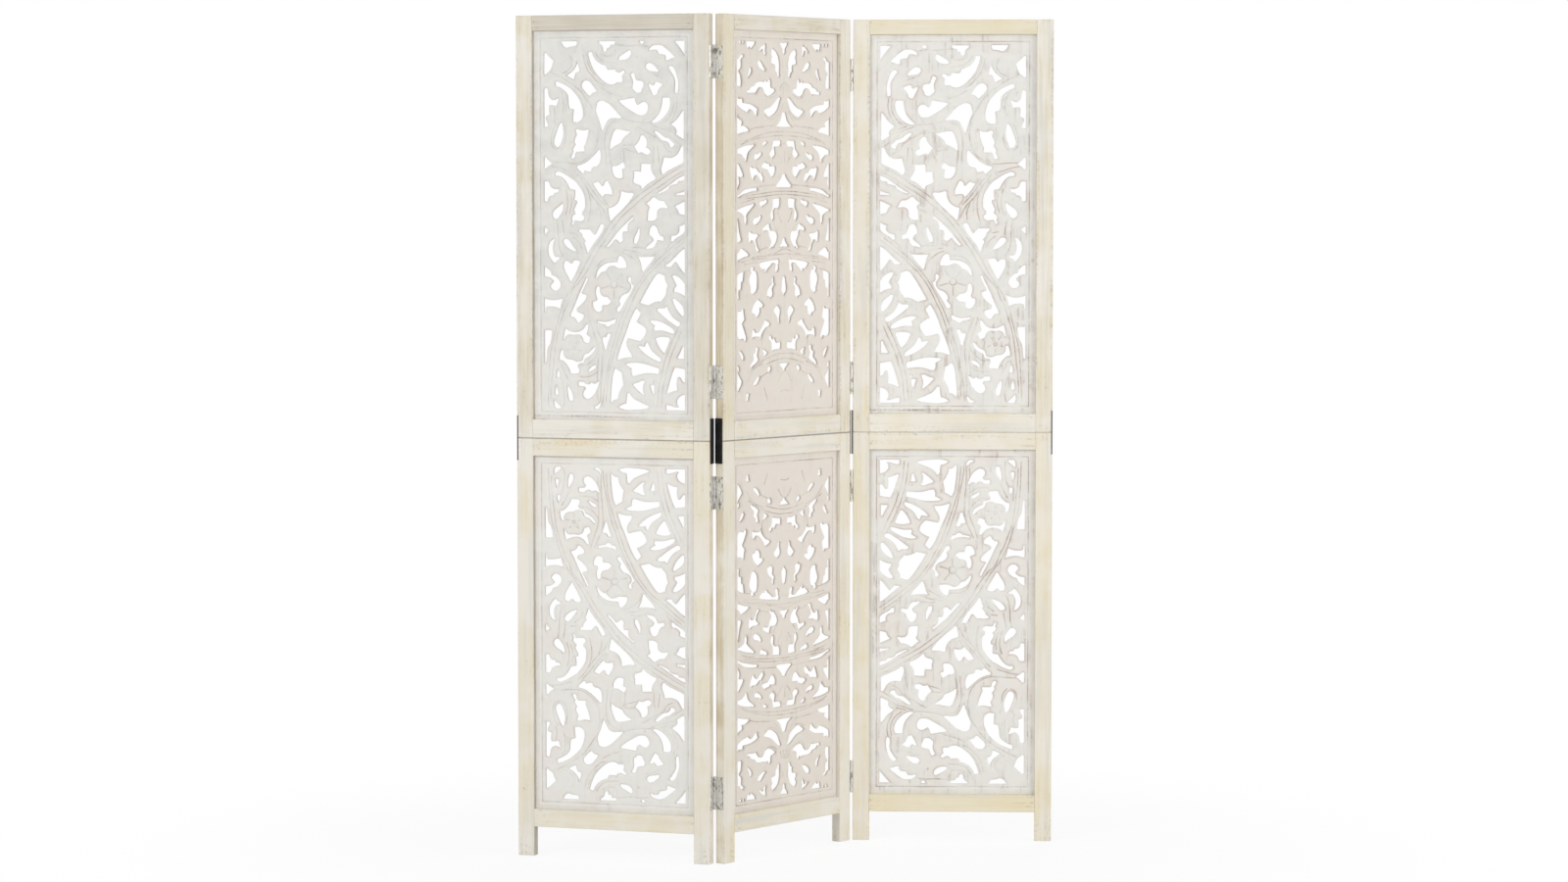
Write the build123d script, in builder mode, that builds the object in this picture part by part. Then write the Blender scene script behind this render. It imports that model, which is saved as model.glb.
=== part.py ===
"""Three-panel folding jali screen, carved wood, in two-piece panels.

Frame: millimetres, +X to the right across the front, +Y to the back, +Z up, with the origin on the
floor under the middle of the standing screen. Each panel has its own sketch plane on its front face:
x runs along the panel from its left edge, y runs up from the floor, and the front faces +z.
"""

import math
import os

from build123d import *

# ---- Driving dimensions -------------------------------------------------------------------------

panel_width = 400.0
panel_thickness = 20.0
half_height = 825.0

stile_width = 33.5
upper_top_rail = 29.5
upper_bottom_rail = 37.5
lower_top_rail = 35.0
lower_bottom_rail = 35.0
foot_height = 58.0
arris = 1.2

tenon_thickness = 7.0
tenon_shoulder = 5.0
tenon_play = 0.1
mortise_spare = 1.0
mortise_wall = 8.5

board_thickness = 6.5
board_recess = 7.5
groove_depth = 7.0
board_play = 0.1
board_edge_play = 0.5
carving_margin = 20.5

fold_gap = 5.2
pin_offset = 1.0
pin_clearance = 0.05
pin_head_margin = 0.3
pin_head_height = 0.8
barrel_play = 0.1
barrel_wall = 1.2
knuckle_count = 5
knuckle_gap = 0.15
leaf_thickness = 1.6
leaf_inset = 1.6
leaf_corner = 1.5
hinge_height = 63.5

plate_height = 88.0
plate_gap = 0.4
plate_inset = 1.5
plate_pin_inset = 0.2
plate_far_inset = 3.0
plate_corner = 1.0
plate_play = 0.1

screw_radius = 1.5
screw_head_radius = 2.9
screw_point = 3.0
screw_play = 0.05
screw_slot_width = 0.8
screw_slot_depth = 0.6
screw_length = 14.0
hinge_screws = 3
screw_inset = 9.75
plate_screw_length = 8.0
plate_screws = 4
plate_screw_inset = 10.0

middle_angle = 50.83
left_fold_angle = 69.46
right_fold_angle = 53.70

# Heights of the four butt hinges on each fold: the first two are measured down from the top and up
# from the mid joint, the last two down from the mid joint and up from the floor.
left_fold_hinges = (92.0, 114.0, 101.0, 138.0)
right_fold_hinges = (110.5, 109.0, 107.5, 129.5)

# ---- Pierced patterns ---------------------------------------------------------------------------

# Each opening is one closed outline on a field 292 wide and 720 long, with y measured from the far
# end of the panel towards the mid joint. A tuple is a corner. A list is a point that a smooth edge
# bends through.

pattern_width = 292.0
pattern_length = 720.0

SIDE_OPENINGS = (
    [(35, 0.5), (70, 0.5), [69.5, 5], (67.5, 9.5), (54, 11), [49, 13], (43, 11), (39.5, 8), [38, 4.5]],
    [(114, 1), (149, 1), [148.5, 5], (145, 8), (139, 8), [138, 12], (132, 14.5), [131.5, 18], (130.5, 20),
     [127, 22], (123.5, 19), [122.5, 13], [120, 8.5], (116, 6)],
    [(1, 24), (3.5, 21.5), (21, 38.5), [17.5, 49], (14.5, 56.5), (3, 66), (0.5, 63)],
    [(70, 39.5), [73, 48], (75, 59), (67, 62), [65, 68], (63, 75), (60, 74), (47.5, 67), [57, 61],
     [66, 51]],
    [(24, 80), (27, 78), [37, 82], [50, 88.5], [64, 100], [74, 112.5], [80, 127], [82, 140], [80.5, 150.5],
     [76, 156], (69, 158.5), (60.5, 157.5), [61, 148], (62.5, 134.5), (60, 132.5), (54, 131.5), [52, 126],
     [51, 112], [48, 102], [42, 96], [34, 90.5], (24.5, 87)],
    [(81.5, 80), [88, 77.2], [95, 79], [102, 85.5], (111, 98.5), (102, 101.5), (95.5, 108), [88, 101],
     (82, 94.5), [78.8, 87]],
    [(92, 25), (94, 22), (101, 22), [103, 28.5], [111, 39.5], [119, 45], (129, 48.5), (133, 56.5),
     [140, 56.5], (149, 55.5), [151, 60.5], [155, 62], (161, 59.5), (166, 57), (169, 62), (164.5, 67),
     (162.5, 68.5), [164, 74], (163, 81), (152, 81), [147, 84.5], [140, 85.5], [126, 80], [114, 69.5],
     [104, 57], [97, 42]],
    [(107.5, 136), (109.5, 126), [113, 119], [119.5, 116.5], [128, 118.5], [138, 124.5], [150, 136.5],
     (162.5, 149.5), (159, 151.8), [150, 150.5], [141, 151], [136.5, 152.5], [131, 159], [126.5, 168],
     (123, 176), (121, 176), [118.5, 167], [114, 153], [110.5, 144]],
    [(0.5, 94), [4.5, 91], (9, 94), [9.8, 101], [12, 109], [15.5, 113], [21, 115], [25.5, 113],
     (31.5, 111.5), [29.5, 119], (27, 126.5), [20, 125], (12.5, 125), [11.5, 130], (13, 143), (7, 145.5),
     [4.5, 149], [7, 158], (9, 166.5), (1, 167.5)],
    [(36, 158.5), (39, 160), [41, 175], [40, 188], [36, 199], [30, 206.5], [24, 204.5], [20.8, 197],
     [23, 186], [28, 172.5], [33, 161.5]],
    [(65.5, 174), (69, 171.5), [74.5, 173], [81, 174.5], [88, 173.5], (93.5, 171.5), [92.5, 182],
     [88, 197.5], (84, 207), (85.5, 215.5), (70, 215.5), (66, 218), (65, 226), [61.5, 229], (56.5, 228),
     [58, 222.5], (61.5, 216.5), (60, 211), (66, 202), [63.5, 197], [65, 189.5], (68.8, 182.5)],
    [(117, 212), (114, 212), [107, 219.5], [98, 228.5], [88, 236.5], [77, 241.5], (68, 243.5), (69, 248),
     (80, 258.5), (83, 257.5), (86, 252.5), (93, 255), (98.5, 254.5), (100, 248), (105, 245),
     [113, 242.5], [117, 236.5], [118.5, 228], [118.5, 218]],
    [(1, 227), (4, 225.5), [9, 231.5], (17.5, 239.5), [10, 244], (3, 249.5), (0.5, 248)],
    [(24, 256.5), [30, 254.5], [39, 257.5], [48, 262], [57, 268], [65, 273], [73, 282], [80, 292],
     [84.5, 302.5], [86, 315], [84.5, 328], (80, 333), (80, 339.5), [84.5, 345.5], [80.5, 350.5],
     [72, 351.3], (65, 350.3), (62.5, 353.5), (61.5, 359), (56.5, 358.5), (59.5, 350), [57.5, 346],
     [60, 341], (65, 337), (62, 329.5), [65, 323], (68.5, 316), (68, 311), (62.5, 310), [64.5, 301],
     (64.5, 290.5), (53.5, 288.5), [49.5, 280.5], [44, 272], [37, 265.5], (25, 263), (22.5, 259.5)],
    [(0.5, 274), (8, 273.5), [11.5, 277], [14, 283.5], [20, 288], (31.5, 288), (31, 293), (29, 295.5),
     (22, 296.5), (20, 301), (13, 302.5), [10, 306], (8.5, 312), [4, 313.5], (0.5, 312)],
    [(141.5, 246), (143, 244.3), (150, 244), [156, 241], (162, 236.5), (165.5, 237), (169.5, 244.5),
     (167.5, 248.5), (162.5, 250), [163.5, 256.5], (164, 266.5), [158, 268], [151, 267], [145, 261.5],
     [142, 254]],
    [(101.5, 278), (107.5, 276), [112, 274.5], [117, 278.5], (121.5, 283), (124.5, 281), [127.5, 274.5],
     [131, 272.5], (134, 274), [139, 284], [142, 292], (141.5, 300.5), [135, 299], (127, 299),
     (124.5, 301), (121.5, 305), [117, 300], [109, 290]],
    [(155, 36.8), [158, 31], [167, 25], [175, 20], [179.5, 19], [182, 23.5], [180.5, 29.5],
     [174.5, 35.3], [167, 37.7], (157, 38)],
    [(199.5, 1), (208, 1), [206.5, 6], [203, 7.5], [200.5, 5.5]],
    [(218, 20), [220, 15], [227, 10.5], [235, 9], [243, 10], [252, 15], [262, 23.5], (272, 32.5),
     (270.5, 34.5), [264, 36], (258, 39), (252, 38), [252.8, 34], (251.5, 29.5), [246, 27.5], (238.5, 27),
     [236.5, 22.5], (234.5, 18.8), [229, 18.3], (221, 20.5)],
    [(270.5, 2), (292, 2), (292, 30.5), [285.5, 20], [278, 10.5]],
    [(238.5, 60), (235.5, 62), [229, 60.5], [219, 59], [213.5, 56], [211, 51.5], [213, 46.5],
     [219.5, 44.3], [228, 48], [234, 53.5]],
    [(258, 54), [263, 50], [267.5, 52], [275, 66], [278.5, 79], [279, 91], (277.5, 103.5), (272, 102),
     [271.5, 90], [271.8, 79], [268, 69], [263, 61]],
    [(179.5, 66), (185.5, 62), [189, 67], [193, 77], (197, 78), (203, 79), [207.5, 84], [207, 89],
     [204.5, 94], (203, 99.5), [197, 102], (190.5, 100.5), (184, 94.5), [184, 89], [185, 81], [183, 73]],
    [(216.5, 85), (221, 84.5), [226.5, 87.5], (230, 83.5), (231, 80.5), [239, 82], (247, 86.5),
     [241, 92.5], [238, 97], (235.5, 104.5), (228.5, 108), (226, 106), [222, 98]],
    [(156, 117.5), (160, 115.5), [172, 114], (187, 111), (190, 114), [191, 119.5], [195, 125],
     [201, 121.5], [207, 119.5], [213, 121.5], [217, 129], [215, 138], [210, 144], [202, 145.5],
     [193, 143.5], [180, 136], [165, 126]],
    [(245.5, 113), (247, 111.5), (260, 111.5), [262.3, 119], [261.5, 129], [257.5, 139], [250.5, 148],
     [241, 156], [233, 159.5], (224.5, 159.5), (223.5, 157.5), [232, 150], [239, 141], [243.5, 129],
     [245.3, 119]],
    [(287.5, 136.5), (290, 138), (290, 190.5), (287, 191), [280, 187], (273, 182), [274.5, 176],
     [272.5, 171], [268, 167], (263, 163.5), [270, 158], [279, 149], [284, 141.5]],
    [(149, 173), [156, 172.7], [166, 174.5], (179, 176.5), (180, 178.5), [170, 186], [164.5, 191.5],
     (161.5, 198), [154, 202], [146, 206], (139.5, 211.5), (137, 210.5), [138, 198], [142, 185],
     [145, 177.5]],
    [(200, 186), [204, 184], [209, 186.5], [213, 192], [214.2, 198.5], (212.5, 208), [217.5, 210.5],
     [221.5, 216], (219, 220.5), [211, 221.5], [206, 219], (200.5, 217.5), (196, 220), [192, 214],
     (187, 206), [193, 200.5], [197.5, 194]],
    [(228.5, 178), (231, 176), [238, 178.5], [244, 183], [250, 187.5], (259, 190), [265, 196],
     (271.5, 201), (269, 205.5), [264, 207.8], (260.5, 207), [259, 201], [255, 197], [247, 195],
     [240, 190.5]],
    [(284.5, 206), (289.5, 206), (289.5, 237), [282, 241.5], [268, 248], (248.5, 261), (244.5, 259),
     [242.7, 252], [245, 241], (248, 229), (251, 227.2), [262, 228.3], [271, 225.5], [278, 219],
     [282, 211]],
    [(202, 239.5), (223.5, 240.5), [222.5, 247], [225, 256], (232, 267), (231.5, 270.5), [222, 275],
     (204.5, 289.5), (202, 288.5), [200.5, 283], [195.5, 280], (187, 277), (185, 273.5), (187, 266),
     [187, 260], (186.5, 255.5), (189, 254), (201, 255)],
    [(292, 262), (292, 270), [288, 272.5], (280, 273), (276, 279), [268, 280.5], (262, 282),
     (258.5, 288.5), [248, 294.5], (238, 298), (235.5, 296.5), [248, 289.5], [261, 280], [275, 270]],
    [(159, 294), (164, 293.3), [169, 295.2], (184, 295.5), (187.5, 299.5), [184, 305], [170, 322],
     [152, 339], (139.5, 351), (137, 351), [135, 341], (133, 328), (134, 326), [142, 324],
     [150.5, 318.5], [156.5, 309.5], [159, 301]],
    [(274, 298), [283, 296], (292, 292.5), (292, 301), [284, 300.5], (274, 301.5)],
    [(38, 315.5), (40, 318), [40.5, 325], [38, 333.5], [33, 341.5], [27, 347.5], [21, 346], [17.5, 340],
     [20, 332], [28, 325]],
    [(0.5, 364.5), (3, 364), (10, 369.5), (2.5, 378), (0.5, 377)],
    [(22, 386.5), [15, 389.5], [9.5, 398], [8, 408], [9.5, 418], [14, 426.5], (21, 435), [25, 431],
     (32.5, 426), (32, 421.5), [28, 422.2], (23.5, 421.5), [19.5, 414], [18.3, 405], [19.5, 395]],
    [(67.5, 410), (65, 411.2), [57, 408.5], [48, 403], [42, 396.5], [39.8, 390.5], [44, 386.5],
     [50, 387.5], [56, 394], [62, 402.5]],
    [(73, 368), (96, 368), (104, 377.5), (107, 377.5), [111, 369.5], (117, 358), [120, 357],
     (126, 361), [123, 368.5], [113, 384], [102, 398], (92, 414.5), (89.5, 413.5), [86.5, 403],
     (83, 395), (86, 390.5), (79, 381.5), (79, 377), (72.5, 372)],
    [(41.5, 431.5), [47, 429.5], (54, 434.5), (58.5, 434), [61.5, 429.3], [66, 428], (75.5, 431.5),
     [73.5, 437.5], [66, 453.5], (57, 470), (54, 470), [46.5, 456], [41.5, 445.5]],
    [(0.5, 441), [4, 442.5], [13, 450], (16, 458), [24, 460.5], [31, 467], [34.5, 475], [32.5, 482.5],
     [27, 487.5], [21, 488], [15.5, 484.5], [13, 479], [16, 474.5], (19.5, 469.5), [16, 465.5],
     [9, 461.5], (0.5, 460.5)],
    [(0.5, 503), [9, 505.7], [20, 507], [31, 505.3], (40, 501.5), [36.5, 511], (33.5, 524), [26, 520.8],
     [15, 519], (6, 519.5), (3.5, 522), (3, 530), (0.5, 530)],
    [(87.5, 462), (91.5, 463.5), [87, 475], (78, 491.5), (80, 494), (88.5, 496), [88, 500.5],
     [82, 510.5], [75, 517], (68, 523), [69, 528.5], [76, 532], (82.5, 534.5), [82.5, 538.5],
     [78, 546], (72, 550.5), (68, 550), [65, 543.5], (60, 539.5), (54.5, 539), (54.5, 534.5), [60, 523.5],
     [70, 499.5], [81, 476.5]],
    [(45, 562), [49, 564.8], [56, 568], [65, 569.3], [74, 567.5], [81, 562.5], (86, 555.5), (89, 552.8),
     (92, 554), [90.5, 565], (88, 572.5), (92, 576.5), (96.5, 579.5), [94.5, 585.5], (92.5, 590.5),
     [87, 590], (81, 586.5), [79.5, 580.5], [75.5, 575.5], [69, 573.6], [60, 574.5], [51.5, 573.8],
     [46, 577], (41.5, 585.5), (39.3, 585), [40.5, 575], (43.5, 563)],
    [(0.5, 566), (13, 566), (17, 568), [15, 581], [12, 592], [8, 599.5], [5.8, 611], (3.5, 630),
     (0.5, 630)],
    [(109.5, 480), [113, 479], (116.3, 482), [117, 490], [119.5, 496], [125, 499], (131.5, 499.5),
     (135.5, 504), (140, 507), [137.5, 511], (131, 515.5), (122.5, 515.5), (120, 519), [119.5, 526.5],
     [115, 529], [109, 528.5], [103, 522], [101, 513.5], (101.5, 509), (107.5, 508), (110.5, 504),
     [107.5, 495.5], [107.3, 486.5]],
    [(154, 421), (157, 419), [162, 420.5], [168, 427.5], [171.5, 436], (171, 442.5), [162, 443],
     [153, 442.5], [144, 438.5], [137, 439.5], (131, 445), (127, 449.5), [120, 451.5], [114.5, 457],
     (110.5, 463), (107.5, 463), [108.5, 456], [112, 447], [120, 439], [131, 433.5], [142, 432],
     (152, 431.5)],
    [(110.5, 546.5), [118, 547.5], [128, 548.5], [138, 546.5], (146, 542.5), (149.5, 543.5), (147, 552),
     [142, 552.5], (138, 555), [132, 558], (125.5, 553.5), [118, 552.3], (111, 550.5)],
    [(120, 579.5), (127.5, 578.5), (129.5, 576.5), [132, 572], [136, 571], (138.5, 573.5), [137, 579],
     [134, 586.5], [132, 594], (129, 603), (125, 603), [123.5, 594], [120.5, 585]],
    [(147.5, 639), (149.5, 639.5), [155, 643.5], (161.5, 647), [162.5, 658], (165, 671.5), [159.5, 680],
     [155, 690], (153, 700), [147, 700.5], (140, 707), (137.5, 706), [138, 692], [140.5, 664],
     [144, 646]],
    [(37.5, 603.5), (40, 606), [40, 612.5], [43, 618.5], [50, 622.5], [59, 623.5], [66, 626.8],
     [73, 626.8], (79, 624), (81.5, 616), [84, 613], [91, 610], [98, 603.5], (104, 597.5), (106.5, 600.5),
     [102, 608.5], [95, 615], (85, 620.5), (82, 628.5), [76, 629.5], (70, 632.5), [70.5, 637.5],
     [73, 643.5], (70.5, 650), [62, 650.5], (54.5, 650.5), [51.5, 641.5], [45, 632], (38, 625.5),
     (31, 623.5), [31.5, 615], (34.5, 605)],
    [(28, 643), (29.5, 644.5), [31.8, 654.5], (31, 658.5), (26, 658.5), [25.3, 654], [26.3, 648]],
    [(24.7, 674), (26, 675), [27, 681], [29, 690], (27, 693), (22.5, 692.5), [21.8, 689], [22.8, 681]],
    [(47.5, 676), (50, 674.5), [56, 684.5], [59.5, 694], (59, 702.5), [55.5, 705], (50.5, 701),
     [48.5, 692]],
    [(20.5, 702.5), [27, 709.5], (34.5, 716), (33, 719.5), (23, 719.5), [19.5, 712]],
    [(108, 634), (108, 638), [103, 642], [97, 645], (93, 648), (90.5, 646), [95, 639.5], [101, 635]],
    [(70.5, 668), (72.5, 666), (83, 666.5), [88.5, 671], [93, 671], (97, 667.5), (99.5, 667.5),
     [103.5, 670], (108, 668.5), (113, 664.5), (115, 667), [111, 678], [106, 688], [98, 696.5],
     [90, 700], [84, 698], [80.5, 693], [81.5, 686], (86, 680), (83, 675.5), (72, 675), (70.5, 672.5)],
    [(115, 706), (117.5, 707.5), [116, 714], (111.5, 719.5), (104, 719), (104, 715), [110, 712.5]],
    [(212, 317), (219, 312), [222.5, 308], [227, 304.5], [234, 308], [241, 311.5], [249, 312.5],
     [252.5, 317], (257.5, 325), (253, 326.5), [245, 325.5], [238, 328.5], [235, 335], [234.5, 343],
     (229.5, 349.5), (224, 351), (214.5, 350.5), [215.5, 340], [217.5, 328], (219.5, 324.5),
     (216, 320)],
    [(271, 322.5), [281, 317.5], (292, 312.5), (292, 339.5), [286, 338.5], (279, 336), [277, 330.5]],
    [(223, 361), [228, 359.5], [234, 363.5], [237, 371], [240.5, 378], (247, 381), [248.5, 386],
     (247, 390.5), [240, 388.5], (235.5, 388), [233, 394], (230, 400.5), (224.5, 404), [219, 404.5],
     (213, 406.5), (211, 404), [216, 398.5], [222, 394], (227, 388), (224, 382), (218, 378.5),
     [218.5, 370]],
    [(279, 362.5), [284, 360.5], (292, 356.5), (292, 370), [286, 377], [277, 382.5], (268, 390.5),
     (262.5, 390.5), (263, 381.5), (266, 379.5), [275, 377], [280, 370.5]],
    [(195.5, 365.5), (198.5, 366), [199, 376], [197, 386], (193, 395), (187, 395), [186.5, 389],
     [191.5, 376]],
    [(185, 342), (185.5, 347.5), (178.5, 352.5), [175, 358], (174.5, 371), (165, 371.5), [163.5, 378],
     (164, 385), [160.5, 392.5], [157, 393], [152.5, 389], (147.5, 387), [144, 392], (134, 402.5),
     (129, 401.5), [138, 391], [155, 370], [172, 354]],
    [(194, 420.5), [205, 421.3], [218, 421], (230, 420), [226, 427], [217, 438], (207.5, 449.5),
     (203.5, 449), [202, 441], [199.5, 431]],
    [(292, 404), (292, 452.5), (290, 452), [282, 443], [277, 436], [272, 430.5], [267.5, 434.5],
     (263.5, 440.5), (253, 440), (251, 437.5), [264, 428], [276, 416]],
    [(233, 455), [239, 453.5], (245, 455.5), (250.5, 457), [251.5, 465], (257, 476), [254.5, 482],
     (253.5, 491), [250.5, 498], (246, 503), (243, 508), [236, 507.5], [227, 510], (217, 515.5),
     [208, 513.5], (198.5, 511), [204, 501], [219, 474.5]],
    [(175.5, 461), [179, 460], (181, 463.5), (180.5, 470.5), (183, 475), (187, 476.5), [184, 484],
     [176, 498], [167, 512], (158.5, 528), (153.5, 528.5), [150.5, 524.5], (153, 519.5), (158, 514),
     (155.5, 507.5), [159, 500], [164.5, 495], [172, 492], [177.5, 487], (180, 480), [178, 473],
     [174, 467]],
    [(265, 457.5), (270, 456), [278, 459.5], [286, 466], (292, 474.5), (292, 498), [283, 492.5],
     (275, 489.5), (269.5, 489.5), (269, 484), (274.5, 476.5), (271.5, 470), [267.5, 463.5]],
    [(265.5, 503), (269.5, 501), [278, 507.5], [286, 515], [289.5, 524], (289.5, 535), (284.5, 535),
     [276, 525.5], [270, 516]],
    [(233.5, 523.5), (237, 521), (249, 521), (251.5, 518.5), (255, 517.5), [259, 527], [266, 537],
     [273, 543], (282, 548), (281.5, 554), [276, 556], [268, 552.3], [254, 542.5], (236, 528)],
    [(218, 547), (222, 545), [234, 545.3], [245, 548.3], [258, 555], (268, 561.5), (271, 567),
     (268.5, 570.5), [260, 568.5], [248, 565], (238, 564.5), (228, 564.5), (227, 559.5), (229.5, 555),
     (226, 552.5)],
    [(230.5, 580), [238, 577.3], [248, 576.3], (260, 578.5), (261.5, 581), [258.5, 589], [253.5, 601],
     (250, 608), (247, 607.5), [239, 598], [233.5, 588]],
    [(194, 595), (200, 594.8), (208.5, 596.5), (210.5, 590), [213, 587.5], [216, 590], [221, 600],
     [229, 608.5], (240, 616.5), (243, 621.5), (242, 626), [233, 623.5], [222, 618.5], [208, 609.5]],
    [(191.5, 521), [196, 525], (201, 531.5), [198, 537], (192, 548), [199, 551.5], [206, 556],
     (211.5, 561.5), [211, 570], [206.5, 578], (200, 585), [190, 583.5], (180, 581), (175, 580),
     [171.8, 586], [172.5, 595], [176, 603], (180, 609), (183, 617.5), [172, 617.5], (153, 623),
     (151.5, 621), [154, 611], [160, 593], [169, 571], [176, 551], [184, 533]],
    [(168, 632), (172, 629.5), [184, 628], [197, 628], [210, 630], [223, 633.8], (238, 637.5),
     [239, 643], (237.5, 649.5), [224, 648], [210, 648], [198, 650.5], (189, 653.5), (183, 653.5),
     [180.7, 647], (181, 639), (176, 636)],
    [(183.5, 671), (187, 668.5), [194, 666.5], (202, 662.5), (209.5, 663), [206.5, 670], [205, 680],
     (208, 690.5), (204.5, 690.5), [197, 684.5]],
    [(219.5, 672), (229, 671), [229, 679], (227, 688.5), (224.5, 688.5), [222, 681]],
    [[228.3, 665.6], [230.2, 663.9], [232, 665.8], [230.2, 667.5]],
    [(173, 687.5), (176.5, 686), [180.5, 692], [187, 698.5], [197, 703.5], [207, 708], (217, 712),
     (217, 715), [206, 718], [190, 719.5], [165, 719.5], (154, 715.5), [161, 710.5], (169, 708.5),
     [170.8, 702], [171.3, 694]],
    [(287, 594.5), (289.8, 596), (289.8, 619), (277, 619), (276.2, 617), [282, 606]],
    [(270.5, 636), [276, 636.5], (292, 639.5), (292, 665), (289.5, 664.5), [284.5, 660], [281, 655],
     (277.5, 654.5), [275.5, 662], [275, 671], (276.5, 680.5), [267, 682.5], (257, 687), (253.8, 686.5),
     [257, 675], [263, 654]],
    [(292, 689), (292, 719.5), (253, 719.5), (252.5, 710), [260, 710], [268, 712.5], (279, 713.5),
     [275, 707], [275.3, 700], [280, 693.5], [286, 690]],
)

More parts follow.
